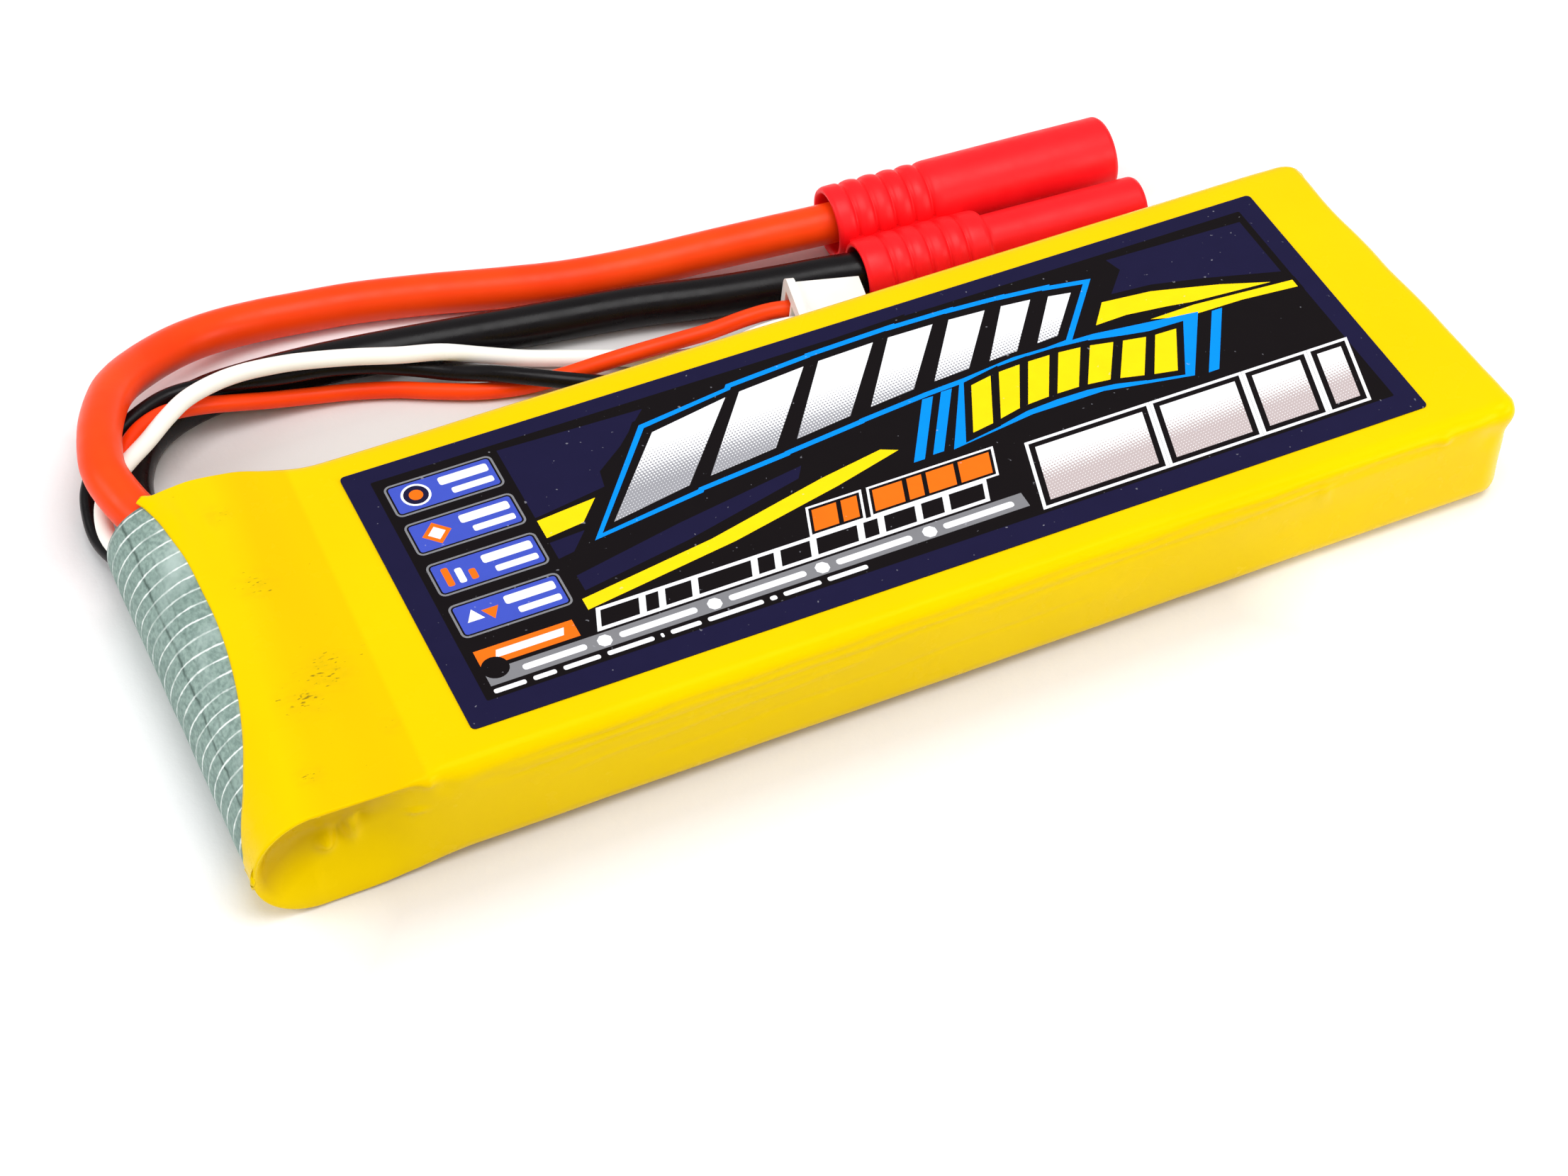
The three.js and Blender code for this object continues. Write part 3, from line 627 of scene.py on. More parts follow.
DENTS = [
    # x, y, z of the middle, half-sizes, depth: positive is outwards
    (-58.9, -20.0, 6.6, 0.75, 4, 0.9, 1.1),
    (-57.6, -20.0, 7.0, 0.5, 4, 1.2, -0.6),
    (-56.3, -20.2, 7.5, 0.5, 4, 1.6, 0.85),
    (-55.3, -20.4, 8.6, 0.6, 4, 0.7, -0.4),
    (-50.6, -21.0, 8.2, 0.9, 3, 0.35, 0.3),
    (-52.0, -21.5, 6.0, 2.4, 3, 2.4, 0.16),
    (-62.6, -21.5, 4.6, 2.0, 4, 1.8, -0.14),
    (-49.4, -21.2, 11.7, 0.55, 1.4, 0.6, 0.5),
    (-47.6, -21.4, 10.9, 0.9, 2.0, 1.3, -0.22),
    (-43.4, -21.5, 9.9, 1.3, 2.0, 0.7, -0.12),
    (-51.6, -21.3, 12.0, 1.2, 1.6, 0.7, -0.14),
    (-62.0, 22.4, 12.6, 0.8, 0.8, 1.6, 0.75),
    (-60.2, 19.6, 12.8, 0.8, 2.2, 2.0, 0.22),
    (-58.6, 18.4, 12.8, 0.7, 2.6, 2.0, -0.12),
    (-57.4, 16.8, 12.8, 0.6, 3.0, 2.0, 0.12),
    (66.3, -21.6, 11.0, 1.1, 2.0, 1.7, 0.75),
    (64.2, -21.4, 9.4, 1.5, 2.4, 1.4, -0.22),
    (62.6, -20.8, 11.6, 1.5, 1.6, 0.8, 0.12),
    (58.3, -21.5, 11.0, 0.5, 1.6, 0.5, 0.35),
    (44.6, -21.5, 9.6, 0.35, 1.6, 1.5, 0.22),
    (66.5, 12.0, 8.0, 3.0, 4.0, 4.0, -0.3),
    (66.5, -2.0, 9.0, 2.0, 4.0, 3.6, 0.22),
    (20.0, -21.5, 6.0, 9.0, 3.0, 3.0, 0.14),
    (-20.0, -21.5, 7.0, 12.0, 3.0, 3.0, -0.14),
    (45.0, -21.5, 6.6, 7.0, 3.0, 2.6, -0.16),
]
# Creases along the near side: start and end, height at each, depth
CREASES = [
    (-46, 64, 10.8, 11.0, -0.17), (-44, 8, 9.2, 9.9, -0.1), (4, 62, 9.4, 10.4, -0.09),
    (-38, -4, 7.0, 8.6, 0.09), (30, 65, 11.6, 11.6, 0.1), (-30, 20, 5.0, 6.4, -0.06),
]


def nose_recess(x, z):
    """How far the flat end of the roll sits in behind its rim, on the near side."""
    if x > -46 or x < -66.5:
        return 0.0
    rim = 12.8 - z if x > NOSE_X else NOSE_R - math.hypot(x - NOSE_X, z - NOSE_Z)
    shelf = 1.15 * smoothstep(0.05, 1.9, rim) * smoothstep(0.0, 9.0, z) * smoothstep(-46.5, -54, x)
    return shelf + 1.1 * smoothstep(0.3, 5.0, rim) * smoothstep(0.0, 6.5, z) * smoothstep(-50, -57, x)


def sleeve_relief(p):
    """How far the film stands out from its smooth shape, at a point in millimetres."""
    x, y, z = p
    total = 0.0
    for cx, cy, cz, rx, ry, rz, depth in DENTS:
        away = ((x - cx) / rx) ** 2 + ((y - cy) / ry) ** 2 + ((z - cz) / rz) ** 2
        if away < 9:
            total += depth * math.exp(-away)
    if y < -18:
        total -= nose_recess(x, z) * smoothstep(-20.2, -21.2, y)
        for x0, x1, z0, z1, depth in CREASES:
            along = (x - x0) / (x1 - x0)
            if 0 < along < 1:
                line = lerp(z0, z1, along) + 0.5 * noise.noise(Vector((x / 9, z0, 0)))
                fade = smoothstep(0, 0.1, along) * smoothstep(1, 0.9, along)
                total += depth * fade * math.exp(-((z - line) / 0.28) ** 2)
    wave = noise.noise(Vector((x / 11, y / 7, z / 5)))
    fine = noise.noise(Vector((x / 3.2, y / 3.2, z / 2.6 + 7)))
    near_nose = smoothstep(-44, -52, x) * smoothstep(12.8, 11.5, z)
    unbacked = 1 - (1 - near_nose) * (1 - smoothstep(60, 66, x))
    return total + wave * lerp(0.05, 0.12, unbacked) + fine * lerp(0.0, 0.05, unbacked)


def tail_end(y):
    """How far the tail stands from a square end, seen from above."""
    return lookup([(-22, 0.1), (-19, 0.7), (-11, 0.65), (-4, 0.3), (2, -0.05), (7.4, -0.1),
                   (14.2, -0.55), (18, -0.5), (22, -0.45)], y)


def wire_end_ring(along):
    """A ring of the wire end: 0 is the mouth's edge, 1 is over the cells."""
    ring = []
    for part, u in COLUMNS:
        t = lerp(column_start(part, u), t_of_x(CELLS_X), along)
        x, zt = side_point(t, True)
        _, zb = side_point(t, False)
        ring.append((x, *section_point(x, zt, zb, part, u)))
    return ring


def cell_ring(i):
    """A ring over the cells, then round the tail's edge, then in to the lip of its opening."""
    ring = []
    for part, u in COLUMNS:
        corner = TAIL_CORNER["far" if part.startswith("far") else "near"]
        share = {"top": 0, "bottom": 0, "near_top": u, "near": 1, "near_bottom": 1 - u,
                 "far_bottom": u, "far": 1, "far_top": 1 - u}[part]
        radius = lerp(TAIL_EDGE, corner, share)
        inset = drop = 0.0
        if i <= CELL_RINGS:
            x = lerp(CELLS_X, HALF - radius, 1 - (1 - i / CELL_RINGS) ** 1.4)
        elif i <= CELL_RINGS + TAIL_EDGE_RINGS:
            turn = (i - CELL_RINGS) / TAIL_EDGE_RINGS * math.pi / 2
            x = HALF - radius * (1 - math.sin(turn))
            inset, drop = corner * (1 - math.cos(turn)), TAIL_EDGE * (1 - math.cos(turn))
        else:
            inwards = (i - CELL_RINGS - TAIL_EDGE_RINGS) / LIP_RINGS
            x = HALF - 0.12 * inwards
            inset, drop = lerp(corner, LIP_INSET, inwards), lerp(TAIL_EDGE, LIP_DROP, inwards)
        y, z = section_point(x, top_height(x), bottom_height(x), part, u, inset, drop)
        ring.append((x + tail_end(y) * smoothstep(52, 64, x), y, z))
    return ring


def build_sleeve(material):
    """The film as rings of points from the mouth to the lip round the tail's opening."""
    rings = [wire_end_ring(i / WIRE_END_RINGS) for i in range(WIRE_END_RINGS + 1)]
    rings += [cell_ring(i) for i in range(1, CELL_RINGS + TAIL_EDGE_RINGS + LIP_RINGS + 1)]
    faces = grid_faces(len(rings), len(COLUMNS), True)
    obj = new_mesh("sleeve_film", [p for ring in rings for p in ring], faces, [material])
    tidy_mesh(obj, 2e-6)
    bm = bmesh.new()
    bm.from_mesh(obj.data)
    bm.normal_update()
    moved = [(v, v.co + v.normal * sleeve_relief(v.co / MM) * MM) for v in bm.verts]
    for v, place in moved:
        v.co = place
    bm.to_mesh(obj.data)
    bm.free()
    thicken(obj, FILM, -1)
    stand_in(obj, "shrink_sleeve")


# ---------------------------------------------------------------- paper round the wire end
def build_paper(material):
    """A half tube from the sleeve's inside over the wire end and back."""
    radius, inner_x = 6.0, -55.6
    sides, arc, flat = 46, 40, 6
    points = []
    for i in range(sides + 1):
        y = lerp(-20.9, 22.0, i / sides)
        for m in range(flat, 0, -1):
            points.append((lerp(NOSE_X, inner_x, m / flat), y, NOSE_Z - radius))
        for k in range(arc + 1):
            angle = lerp(-math.pi / 2, math.pi / 2, k / arc)
            r = radius + 0.10 * noise.noise(Vector((y / 5, angle * 1.3, 3.0)))
            points.append((NOSE_X - r * math.cos(angle), y, NOSE_Z + r * math.sin(angle)))
        for m in range(1, flat + 1):
            points.append((lerp(NOSE_X, inner_x, m / flat), y, NOSE_Z + radius - 0.05 * m))
    faces = grid_faces(sides + 1, 2 * flat + arc + 1, False)
    obj = new_mesh("nose_paper_sheet", points, faces, [material])
    thicken(obj, PAPER, 1)
    stand_in(obj, "nose_paper")


# ---------------------------------------------------------------- leads
ROUTES = {
    "power_wire_red": [
        (-60.4, 14.0, 9.2), (-60.9, 18.5, 9.2), (-61.7, 22.0, 9.5), (-63.0, 25.6, 10.2),
        (-63.7, 29.6, 10.7), (-62.9, 34.0, 10.4), (-61.4, 38.4, 9.5), (-58.7, 43.7, 7.8),
        (-54.6, 48.2, 5.6), (-50.0, 51.2, 4.1), (-45.8, 52.6, 3.2), (-41.0, 53.0, 2.6),
        (-36.4, 52.7, 2.3), (-30.4, 51.7, 2.3), (-23.0, 49.8, 2.3), (-15.8, 47.6, 2.3),
        (-8.4, 45.6, 2.3), (-0.7, 44.1, 2.6), (7.1, 42.8, 3.2), (13.2, 41.6, 3.8),
        (19.0, 40.6, 4.2), (24.6, 40.2, 4.2)],
    "power_wire_black": [
        (-59.4, 14.0, 3.7), (-59.6, 20.5, 3.4), (-60.4, 26.0, 2.8), (-61.0, 30.5, 2.4),
        (-60.7, 33.7, 2.3), (-59.9, 36.5, 2.3), (-58.4, 39.3, 2.3), (-56.1, 41.8, 2.3),
        (-53.3, 43.4, 2.3), (-49.2, 44.5, 2.3), (-45.9, 44.7, 2.3), (-37.9, 44.3, 2.3),
        (-28.8, 43.1, 2.3), (-18.3, 41.3, 2.3), (-10.7, 40.0, 2.3), (-3.2, 38.7, 2.3),
        (4.2, 36.8, 2.4), (11.3, 34.9, 2.9), (16.2, 33.5, 3.5), (20.4, 32.2, 3.9),
        (24.1, 31.55, 3.9)],
    "balance_wire_white": [
        (-59.0, -6.0, 6.4), (-60.2, -3.6, 6.2), (-62.6, 0.0, 5.6), (-63.9, 6.0, 5.3),
        (-63.9, 16.0, 5.3), (-64.2, 21.5, 5.5), (-65.2, 26.0, 6.0), (-64.7, 28.7, 6.7),
        (-63.7, 30.4, 7.2), (-62.3, 31.8, 7.5), (-60.4, 33.4, 7.6), (-57.9, 35.5, 7.4),
        (-55.1, 37.9, 7.4), (-52.5, 39.7, 7.4), (-49.1, 41.1, 7.1), (-46.0, 41.7, 6.8),
        (-41.5, 41.5, 6.5), (-38.6, 41.0, 6.3), (-34.4, 40.1, 5.9), (-30.0, 39.2, 5.2),
        (-25.4, 38.7, 4.3), (-21.1, 38.0, 2.8), (-16.9, 37.0, 1.6), (-12.6, 35.6, 1.1),
        (-8.5, 33.9, 1.0), (-3.0, 31.2, 1.0), (2.5, 29.3, 1.8), (6.4, 28.5, 3.3),
        (9.0, 27.8, 4.0), (11.8, 27.2, 3.97)],
    "balance_wire_black": [
        (-58.75, 0.5, 3.6), (-60.2, 3.0, 3.5), (-62.4, 6.4, 3.4), (-62.9, 10.0, 3.4),
        (-62.9, 16.0, 3.4), (-63.2, 21.0, 3.2), (-64.5, 25.2, 2.5), (-65.5, 29.4, 2.1),
        (-65.4, 32.3, 2.7), (-64.6, 35.1, 3.6), (-62.5, 37.7, 4.6), (-59.7, 39.9, 5.4),
        (-56.5, 41.6, 5.7), (-53.6, 42.6, 5.7), (-49.6, 42.8, 5.4), (-46.0, 42.5, 4.9),
        (-41.6, 41.9, 4.5), (-37.1, 41.4, 4.2), (-32.8, 40.5, 3.7), (-28.7, 39.3, 2.8),
        (-24.9, 37.2, 2.5), (-21.0, 34.6, 3.0), (-17.1, 32.3, 2.9), (-13.1, 30.5, 2.3),
        (-6.5, 28.3, 1.1), (-0.5, 26.9, 1.1), (4.0, 26.2, 2.3), (7.4, 25.6, 3.6),
        (11.3, 24.76, 3.97)],
    "balance_wire_red": [
        (-58.75, 0.5, 8.6), (-59.6, 2.4, 7.8), (-61.2, 5.4, 6.5), (-61.9, 9.0, 6.15),
        (-61.9, 16.0, 6.15), (-62.2, 20.5, 6.2), (-62.5, 26.0, 5.6), (-62.3, 31.1, 5.5),
        (-61.5, 33.8, 5.7), (-60.1, 36.5, 6.0), (-58.0, 38.5, 6.2), (-55.4, 39.9, 6.0),
        (-53.3, 40.5, 5.5), (-50.2, 41.0, 4.5), (-47.3, 41.2, 3.5), (-43.6, 41.2, 2.4),
        (-39.1, 40.9, 1.5), (-34.8, 40.1, 1.1), (-30.6, 38.6, 1.0), (-26.7, 36.6, 1.0),
        (-22.5, 34.7, 1.0), (-18.2, 33.6, 1.0), (-13.8, 32.8, 1.6), (-10.0, 32.1, 2.4),
        (-6.2, 31.6, 2.9), (-2.2, 31.4, 3.0), (1.9, 31.2, 3.1), (6.0, 30.9, 3.7),
        (8.8, 30.4, 4.1), (12.3, 29.65, 3.97)],
}


def centripetal(points, per_span=6):
    """The smooth curve through the route's points that the CAD tube follows."""
    pts = [Vector(p) for p in points]
    first, last = pts[0] * 2 - pts[1], pts[-1] * 2 - pts[-2]
    pts = [first, *pts, last]
    out = []
    for i in range(1, len(pts) - 2):
        p = pts[i - 1:i + 3]
        t = [0.0]
        for k in range(3):
            t.append(t[-1] + max((p[k + 1] - p[k]).length, 1e-6) ** 0.5)
        for m in range(per_span):
            s = lerp(t[1], t[2], m / per_span)
            a = [lerp(p[k], p[k + 1], (s - t[k]) / (t[k + 1] - t[k])) for k in range(3)]
            b = [lerp(a[k], a[k + 1], (s - t[k]) / (t[k + 2] - t[k])) for k in range(2)]
            out.append(lerp(b[0], b[1], (s - t[1]) / (t[2] - t[1])))
    return out + [pts[-2]]


def build_lead(name, radius, material):
    """A wire along its route, from inside the wire end to the connector's pieces."""
    line = centripetal(ROUTES[name])
    data = bpy.data.curves.new(name + "_lead", "CURVE")
    data.dimensions = "3D"
    data.bevel_depth = radius * MM
    data.bevel_resolution = 8
    data.use_fill_caps = True
    spline = data.splines.new("POLY")
    spline.points.add(len(line) - 1)
    for point, place in zip(spline.points, line):
        point.co = (*(place * MM), 1)
    spline.use_smooth = True
    data.materials.append(material)
    obj = bpy.data.objects.new(name + "_lead", data)
    bpy.context.scene.collection.objects.link(obj)
    stand_in(obj, name)


# ---------------------------------------------------------------- twin bullet connector
CONNECTOR_PLACE = Matrix.Translation(Vector((20.7, 40.45, 4.2)) * MM) @ Matrix.Rotation(
    math.radians(-3.2), 4, "Z")
TUBE_PITCH, TUBE_DROP = 8.7, 0.3  # the thin tube lies beside the thick one and a little lower
GROOVES, GROOVE_PITCH = 5, 2.18
RIB_STEPS = 16  # points of the outline per groove
# Outlines as (x, radius) from the bore's bottom out over the wire's end, and then from the grip
# over the far end and back into the bore; the grip's rings lie between the two
THICK_ENTRY = [(15.0, 3.2), (-0.3, 3.25), (-0.7, 3.45), (-0.7, 3.8), (-0.3, 4.02), (0.7, 4.05)]
THICK_END = [(11.0, 4.08), (11.5, 4.13), (24, 4.17), (32.1, 4.15), (32.5, 3.8), (32.5, 3.5),
             (32.2, 3.35), (18.0, 3.35), (18.0, 2.1)]
THIN_ENTRY = [(12.6, 3.0), (-0.3, 3.05), (-0.7, 3.2), (-0.7, 3.55), (-0.3, 3.77), (0.9, 3.82)]
THIN_END = [(12.0, 3.84), (13.3, 3.8), (13.75, 3.55), (13.85, 3.1), (14.2, 3.0), (24, 3.02),
            (32.1, 3.0), (32.5, 2.75), (32.5, 2.6), (32.2, 2.5), (20.0, 2.5)]
MALE_BULLET = [
    (14.0, 0), (14.0, 2.0), (18.5, 2.0), (18.8, 1.85), (19.3, 1.85), (19.8, 2.05), (21.5, 2.14),
    (23.6, 2.12), (24.8, 1.95), (25.2, 1.8), (26.2, 1.75), (26.7, 1.5), (27.0, 0.9), (27.0, 0)]
FEMALE_BULLET = [(18.5, 0), (18.5, 2.05), (31.2, 2.05), (31.5, 2.2), (31.5, 2.4), (31.2, 2.48),
                 (18.0, 2.48), (18.0, 0)]
WEB_LENGTH, WEB_ROWS = 13.6, 24


def lathe(name, profile, segments, material, thin_tube=False):
    """A body turned about a tube's axis from (x, radius) points; a radius of 0 closes it."""
    y0, z0 = (-TUBE_PITCH, -TUBE_DROP) if thin_tube else (0, 0)
    verts, faces, rings = [], [], []
    for x, r in profile:
        start = len(verts)
        for k in range(segments if r else 1):
            a = 2 * math.pi * k / segments
            verts.append((x, y0 + r * math.cos(a), z0 + r * math.sin(a)))
        rings.append(list(range(start, len(verts))))
    for a, b in zip(rings, rings[1:]):
        for k in range(segments):
            corners = (a[k % len(a)], a[(k + 1) % segments % len(a)],
                       b[(k + 1) % segments % len(b)], b[k % len(b)])
            face = list(dict.fromkeys(corners))
            if len(face) > 2:
                faces.append(face)
    return new_mesh(name, verts, faces, [material])


def rounded(points, radius=0.25, steps=4):
    """Rounds the corners of an [x, radius] outline, so that a lathe has soft edges."""
    out = [points[0]]
    for a, b, c in zip(points, points[1:], points[2:]):
        pa, pb, pc = Vector((*a, 0)), Vector((*b, 0)), Vector((*c, 0))
        if (pa - pb).length < 1e-6 or (pc - pb).length < 1e-6:
            continue
        d = min(radius, (pa - pb).length * 0.45, (pc - pb).length * 0.45)
        start, end = pb + (pa - pb).normalized() * d, pb + (pc - pb).normalized() * d
        for k in range(steps + 1):
            t = k / steps
            q = start * (1 - t) ** 2 + pb * 2 * t * (1 - t) + end * t ** 2
            out.append((q.x, q.y))
    return out + [points[-1]]


def rib_profile(first, crest, valley):
    """Rounded rings: wide crests with narrow grooves between them; first is a groove's middle."""
    points = []
    lead_in = RIB_STEPS // 4
    for i in range(-lead_in, (GROOVES - 1) * RIB_STEPS + lead_in + 1):
        phase = (i % RIB_STEPS) / RIB_STEPS
        groove = math.exp(-((min(phase, 1 - phase)) / 0.1) ** 2)
        crown = 0.07 * math.cos(2 * math.pi * (phase - 0.5))
        x = first + i * GROOVE_PITCH / RIB_STEPS
        points.append((x, crest + crown - (crest - valley) * groove))
    return points


def join(objs, name):
    bpy.ops.object.select_all(action="DESELECT")
    for o in objs:
        o.select_set(True)
    bpy.context.view_layer.objects.active = objs[0]
    bpy.ops.object.join()
    objs[0].name = name
    objs[0].data.name = name
    return objs[0]


def build_web(material):
    """The web that joins the two tubes beside their grips."""
    points = []
    for i in range(WEB_ROWS + 1):
        x = lerp(0.3, WEB_LENGTH, i / WEB_ROWS)
        half = 0.85 - 0.2 * smoothstep(12.6, WEB_LENGTH, x)
        outline = [(-3.7, half), (-4.6, half * 0.8), (-5.4, half)]
        outline += [(y, -z) for y, z in reversed(outline)]
        points += [(x, y, z - 0.15) for y, z in outline]
    faces = grid_faces(WEB_ROWS + 1, 6, True)
    faces += [(5, 4, 3, 2, 1, 0), tuple(WEB_ROWS * 6 + j for j in range(6))]
    return new_mesh("web", points, faces, [material])


def build_housing(red):
    thick = rounded(THICK_ENTRY) + rib_profile(1.62, 4.05, 3.74) + rounded(THICK_END, 0.35)
    thin = rounded(THIN_ENTRY) + rib_profile(2.37, 3.82, 3.52) + rounded(THIN_END, 0.35)
    housing = join([lathe("thick", thick, 72, red), lathe("thin", thin, 64, red, True),
                    build_web(red)], "twin_bullet_housing")
    housing.matrix_world = CONNECTOR_PLACE
    return stand_in(housing, "connector_housing")


def slit_box(angle):
    """A cutter for one slit in the male bullet's springy cage."""
    c, s = math.cos(angle), math.sin(angle)
    slit = box_mesh("slit", (19.7, 1.6, -0.16), (25.0, 2.6, 0.16))
    for v in slit.data.vertices:
        x, along, across = v.co
        v.co = (x, along * c - across * s, along * s + across * c)
    return slit


def build_bullets(gold):
    male = lathe("male_bullet", MALE_BULLET, 48, gold)
    boolean(male, [slit_box(math.radians(45 + 90 * k)) for k in range(4)])
    male.matrix_world = CONNECTOR_PLACE
    female = lathe("female_bullet", rounded(FEMALE_BULLET, 0.1), 48, gold, True)
    female.matrix_world = CONNECTOR_PLACE
    return [stand_in(male, "bullet_male"),
            stand_in(female, "bullet_socket")]


# ---------------------------------------------------------------- balance plug
PLUG_PLACE = (Matrix.Translation(Vector((9.85, 27.6, 4.1)) * MM)
              @ Matrix.Rotation(math.radians(-11), 4, "Z")
              @ Matrix.Rotation(math.radians(5), 4, "Y"))
CONTACT_PITCH = 2.5


def box_mesh(name, low, high, materials=()):
    verts = [(x, y, z) for x in (low[0], high[0]) for y in (low[1], high[1])
             for z in (low[2], high[2])]
    faces = [(0, 1, 3, 2), (4, 6, 7, 5), (0, 4, 5, 1), (2, 3, 7, 6), (0, 2, 6, 4), (1, 5, 7, 3)]
    return new_mesh(name, verts, faces, materials, smooth=False)


def boolean(obj, cutters, operation="DIFFERENCE"):
    for cutter in cutters:
        mod = obj.modifiers.new("cut", "BOOLEAN")
        mod.operation, mod.object, mod.solver = operation, cutter, "EXACT"
    apply_modifiers(obj)
    for cutter in cutters:
        bpy.data.objects.remove(cutter)
    return obj


def build_plug_body(white):
    body = box_mesh("plug_body", (0.4, -4.15, -2.2), (8.1, 4.15, 2.2), [white])
    outline = box_shape(-4.8, 4.8, -2.875, 2.875, 1.2, 5)
    count = len(outline)
    verts = [(x, y, z) for x in (0.0, 0.9) for y, z in outline]
    faces = grid_faces(2, count, True)
    faces += [tuple(reversed(range(count))), tuple(range(count, 2 * count))]
    flange = new_mesh("flange", verts, faces, [white], smooth=False)
    step = box_mesh("step", (0.6, -4.3, 1.9), (1.4, -0.6, 2.65), [white])
    boolean(body, [flange, step], "UNION")
    cutters = []
    for i in (-1, 0, 1):
        y = i * CONTACT_PITCH
        cutters.append(box_mesh("slot", (-1, y - 1.02, -1.6), (1.7, y + 1.02, 1.6)))
        cutters.append(box_mesh("cavity", (1.2, y - 0.85, -1.1), (9, y + 0.85, 1.1)))
        cutters.append(box_mesh("window", (3.6, y - 0.6, -3.5), (5.4, y + 0.6, -1.0)))
    for y in (-2.6, 0.4):
        cutters.append(box_mesh("nick", (7.8, y - 0.35, 1.9), (9, y + 0.35, 3)))
    boolean(body, cutters)
    bevel = body.modifiers.new("bevel", "BEVEL")
    bevel.width, bevel.segments, bevel.limit_method = 0.16 * MM, 3, "ANGLE"
    bevel.angle_limit = math.radians(40)
    bevel.harden_normals = True
    apply_modifiers(body)
    body.name = "balance_plug_body"
    body.matrix_world = PLUG_PLACE
    return stand_in(body, "balance_plug")


def build_crimp(y, place, gold):
    shell = box_mesh("crimp_" + place, (2.65, y - 0.68, -0.85), (7.2, y + 0.68, 0.85), [gold])
    bevel = shell.modifiers.new("bevel", "BEVEL")
    bevel.width, bevel.segments, bevel.limit_method = 0.22 * MM, 3, "NONE"
    boolean(shell, [box_mesh("mouth", (4.0, y - 0.42, -0.6), (9, y + 0.42, 0.6))])
    shell.matrix_world = PLUG_PLACE
    return stand_in(shell, "balance_contact_" + place)


# ---------------------------------------------------------------- label artwork
FRONT_FACE, FRONT_BACK = 12.6, 12.48  # heights of the stickers' two sides
REAR_FACE, REAR_BACK = 0.0, 0.12
INKS = {
    "edge": (30, 26, 60), "navy": (26, 23, 56), "black": (17, 12, 14), "white": (240, 240, 244),
    "silver": (244, 244, 248), "pearl": (246, 244, 246), "blue": (0, 140, 240),
    "yellow": (250, 216, 10), "orange": (240, 112, 20), "grey": (128, 128, 132),
    "badge": (66, 84, 190)}
HALFTONES = {"silver": (linear(150, 150, 156), 0.0098, 0.0042),
             "pearl": (linear(186, 172, 172), -0.0078, -0.0112)}
NAVY_FIELDS = (
    [(-28.3, 14.8), (-13.0, 14.3), (-17.0, 10.4), (-20.2, 8.0), (-20.6, 5.9), (-28.3, 4.7)],
    [(-28.3, 1.1), (-24.6, 1.3), (-26.6, -0.9), (-28.3, -1.2)],
    [(-27.6, -3.9), (-16, -1.6), (-2, 0.6), (-3, -0.9), (-16, -4.0), (-27.6, -6.0)],
    [(39.6, 14.7), (55.3, 14.2), (55.3, 5.7), (47.5, 8.1), (42.0, 9.5), (37.6, 9.9), (40.2, 12.8)],
)
SWOOSHES = (
    [(-28.3, 4.3), (-28.3, 1.8), (-24.3, 2.3), (-22.0, 4.9)],
    [(-28.3, -6.9), (-28.3, -8.4), (-12, -6.0), (0, -3.4), (7.6, -1.4), (6.0, -0.6), (-1, -1.8),
     (-14, -4.8)],
    [(33.9, 6.4), (36.1, 9.2), (41.5, 8.6), (48.5, 6.6), (55.7, 3.9), (55.7, 3.0), (50.5, 4.4),
     (42.0, 5.9), (37.5, 6.5)],
    [(39.4, 4.9), (44.5, 5.0), (50.8, 4.5), (55.7, 4.1), (55.7, 3.0), (49.5, 3.6), (43.0, 3.7)],
)
# Large leaning bars: where each foot starts and ends, and its lean; then the curves they stand on
# and reach up to
BARS = ((-21.6, -13.0, 8.2), (-10.6, -3.2, 7.4), (-0.8, 5.4, 6.7), (7.8, 12.8, 6.0),
        (15.2, 19.2, 5.4), (21.6, 24.8, 4.8), (27.2, 29.6, 4.3))
BAR_FEET = [(-24, 1.0), (-12, 2.8), (0, 4.2), (12, 5.6), (24, 6.3), (34, 6.8)]
BAR_TOPS = [(-16, 10.6), (-8, 12.0), (4, 13.2), (16, 13.5), (28, 12.8), (38, 11.4)]
BANNER = [(17.6, 5.0), (24, 5.7), (33, 5.4), (44.4, 3.9), (39.4, -4.2), (30.0, -2.4), (22, -2.4),
          (12.6, -3.6)]
BANNER_FEET = [(15, -2.3), (22, -1.0), (30, -1.0), (40, -3.0)]
BANNER_TOPS = [(15, 3.4), (22, 4.4), (30, 4.3), (40, 2.6)]
# Badges: height of the lower edge and the sign on it
BADGES = ((10.1, "rings"), (4.5, "diamonds"), (-1.3, "bars"), (-7.1, "triangles"))


def slant(x0, x1, y0, y1, lean):
    """A parallelogram whose top is shifted by lean."""
    return [(x0, y0), (x1, y0), (x1 + lean, y1), (x0 + lean, y1)]


def box_shape(x0, x1, y0, y1, radius=0.0, steps=5):
    radius = min(radius, 0.45 * (x1 - x0), 0.45 * (y1 - y0))
    if radius <= 0:
        return [(x0, y0), (x1, y0), (x1, y1), (x0, y1)]
    out = []
    for cx, cy, start in ((x1 - radius, y0 + radius, -90), (x1 - radius, y1 - radius, 0),
                          (x0 + radius, y1 - radius, 90), (x0 + radius, y0 + radius, 180)):
        for k in range(steps + 1):
            a = math.radians(start + 90 * k / steps)
            out.append((cx + radius * math.cos(a), cy + radius * math.sin(a)))
    return out


def disc(cx, cy, radius, sides=24, start=0.0):
    return [(cx + radius * math.cos(start + 2 * math.pi * k / sides),
             cy + radius * math.sin(start + 2 * math.pi * k / sides)) for k in range(sides)]


def signed_area(shape):
    return sum(a[0] * b[1] - b[0] * a[1] for a, b in zip(shape, shape[1:] + shape[:1])) / 2


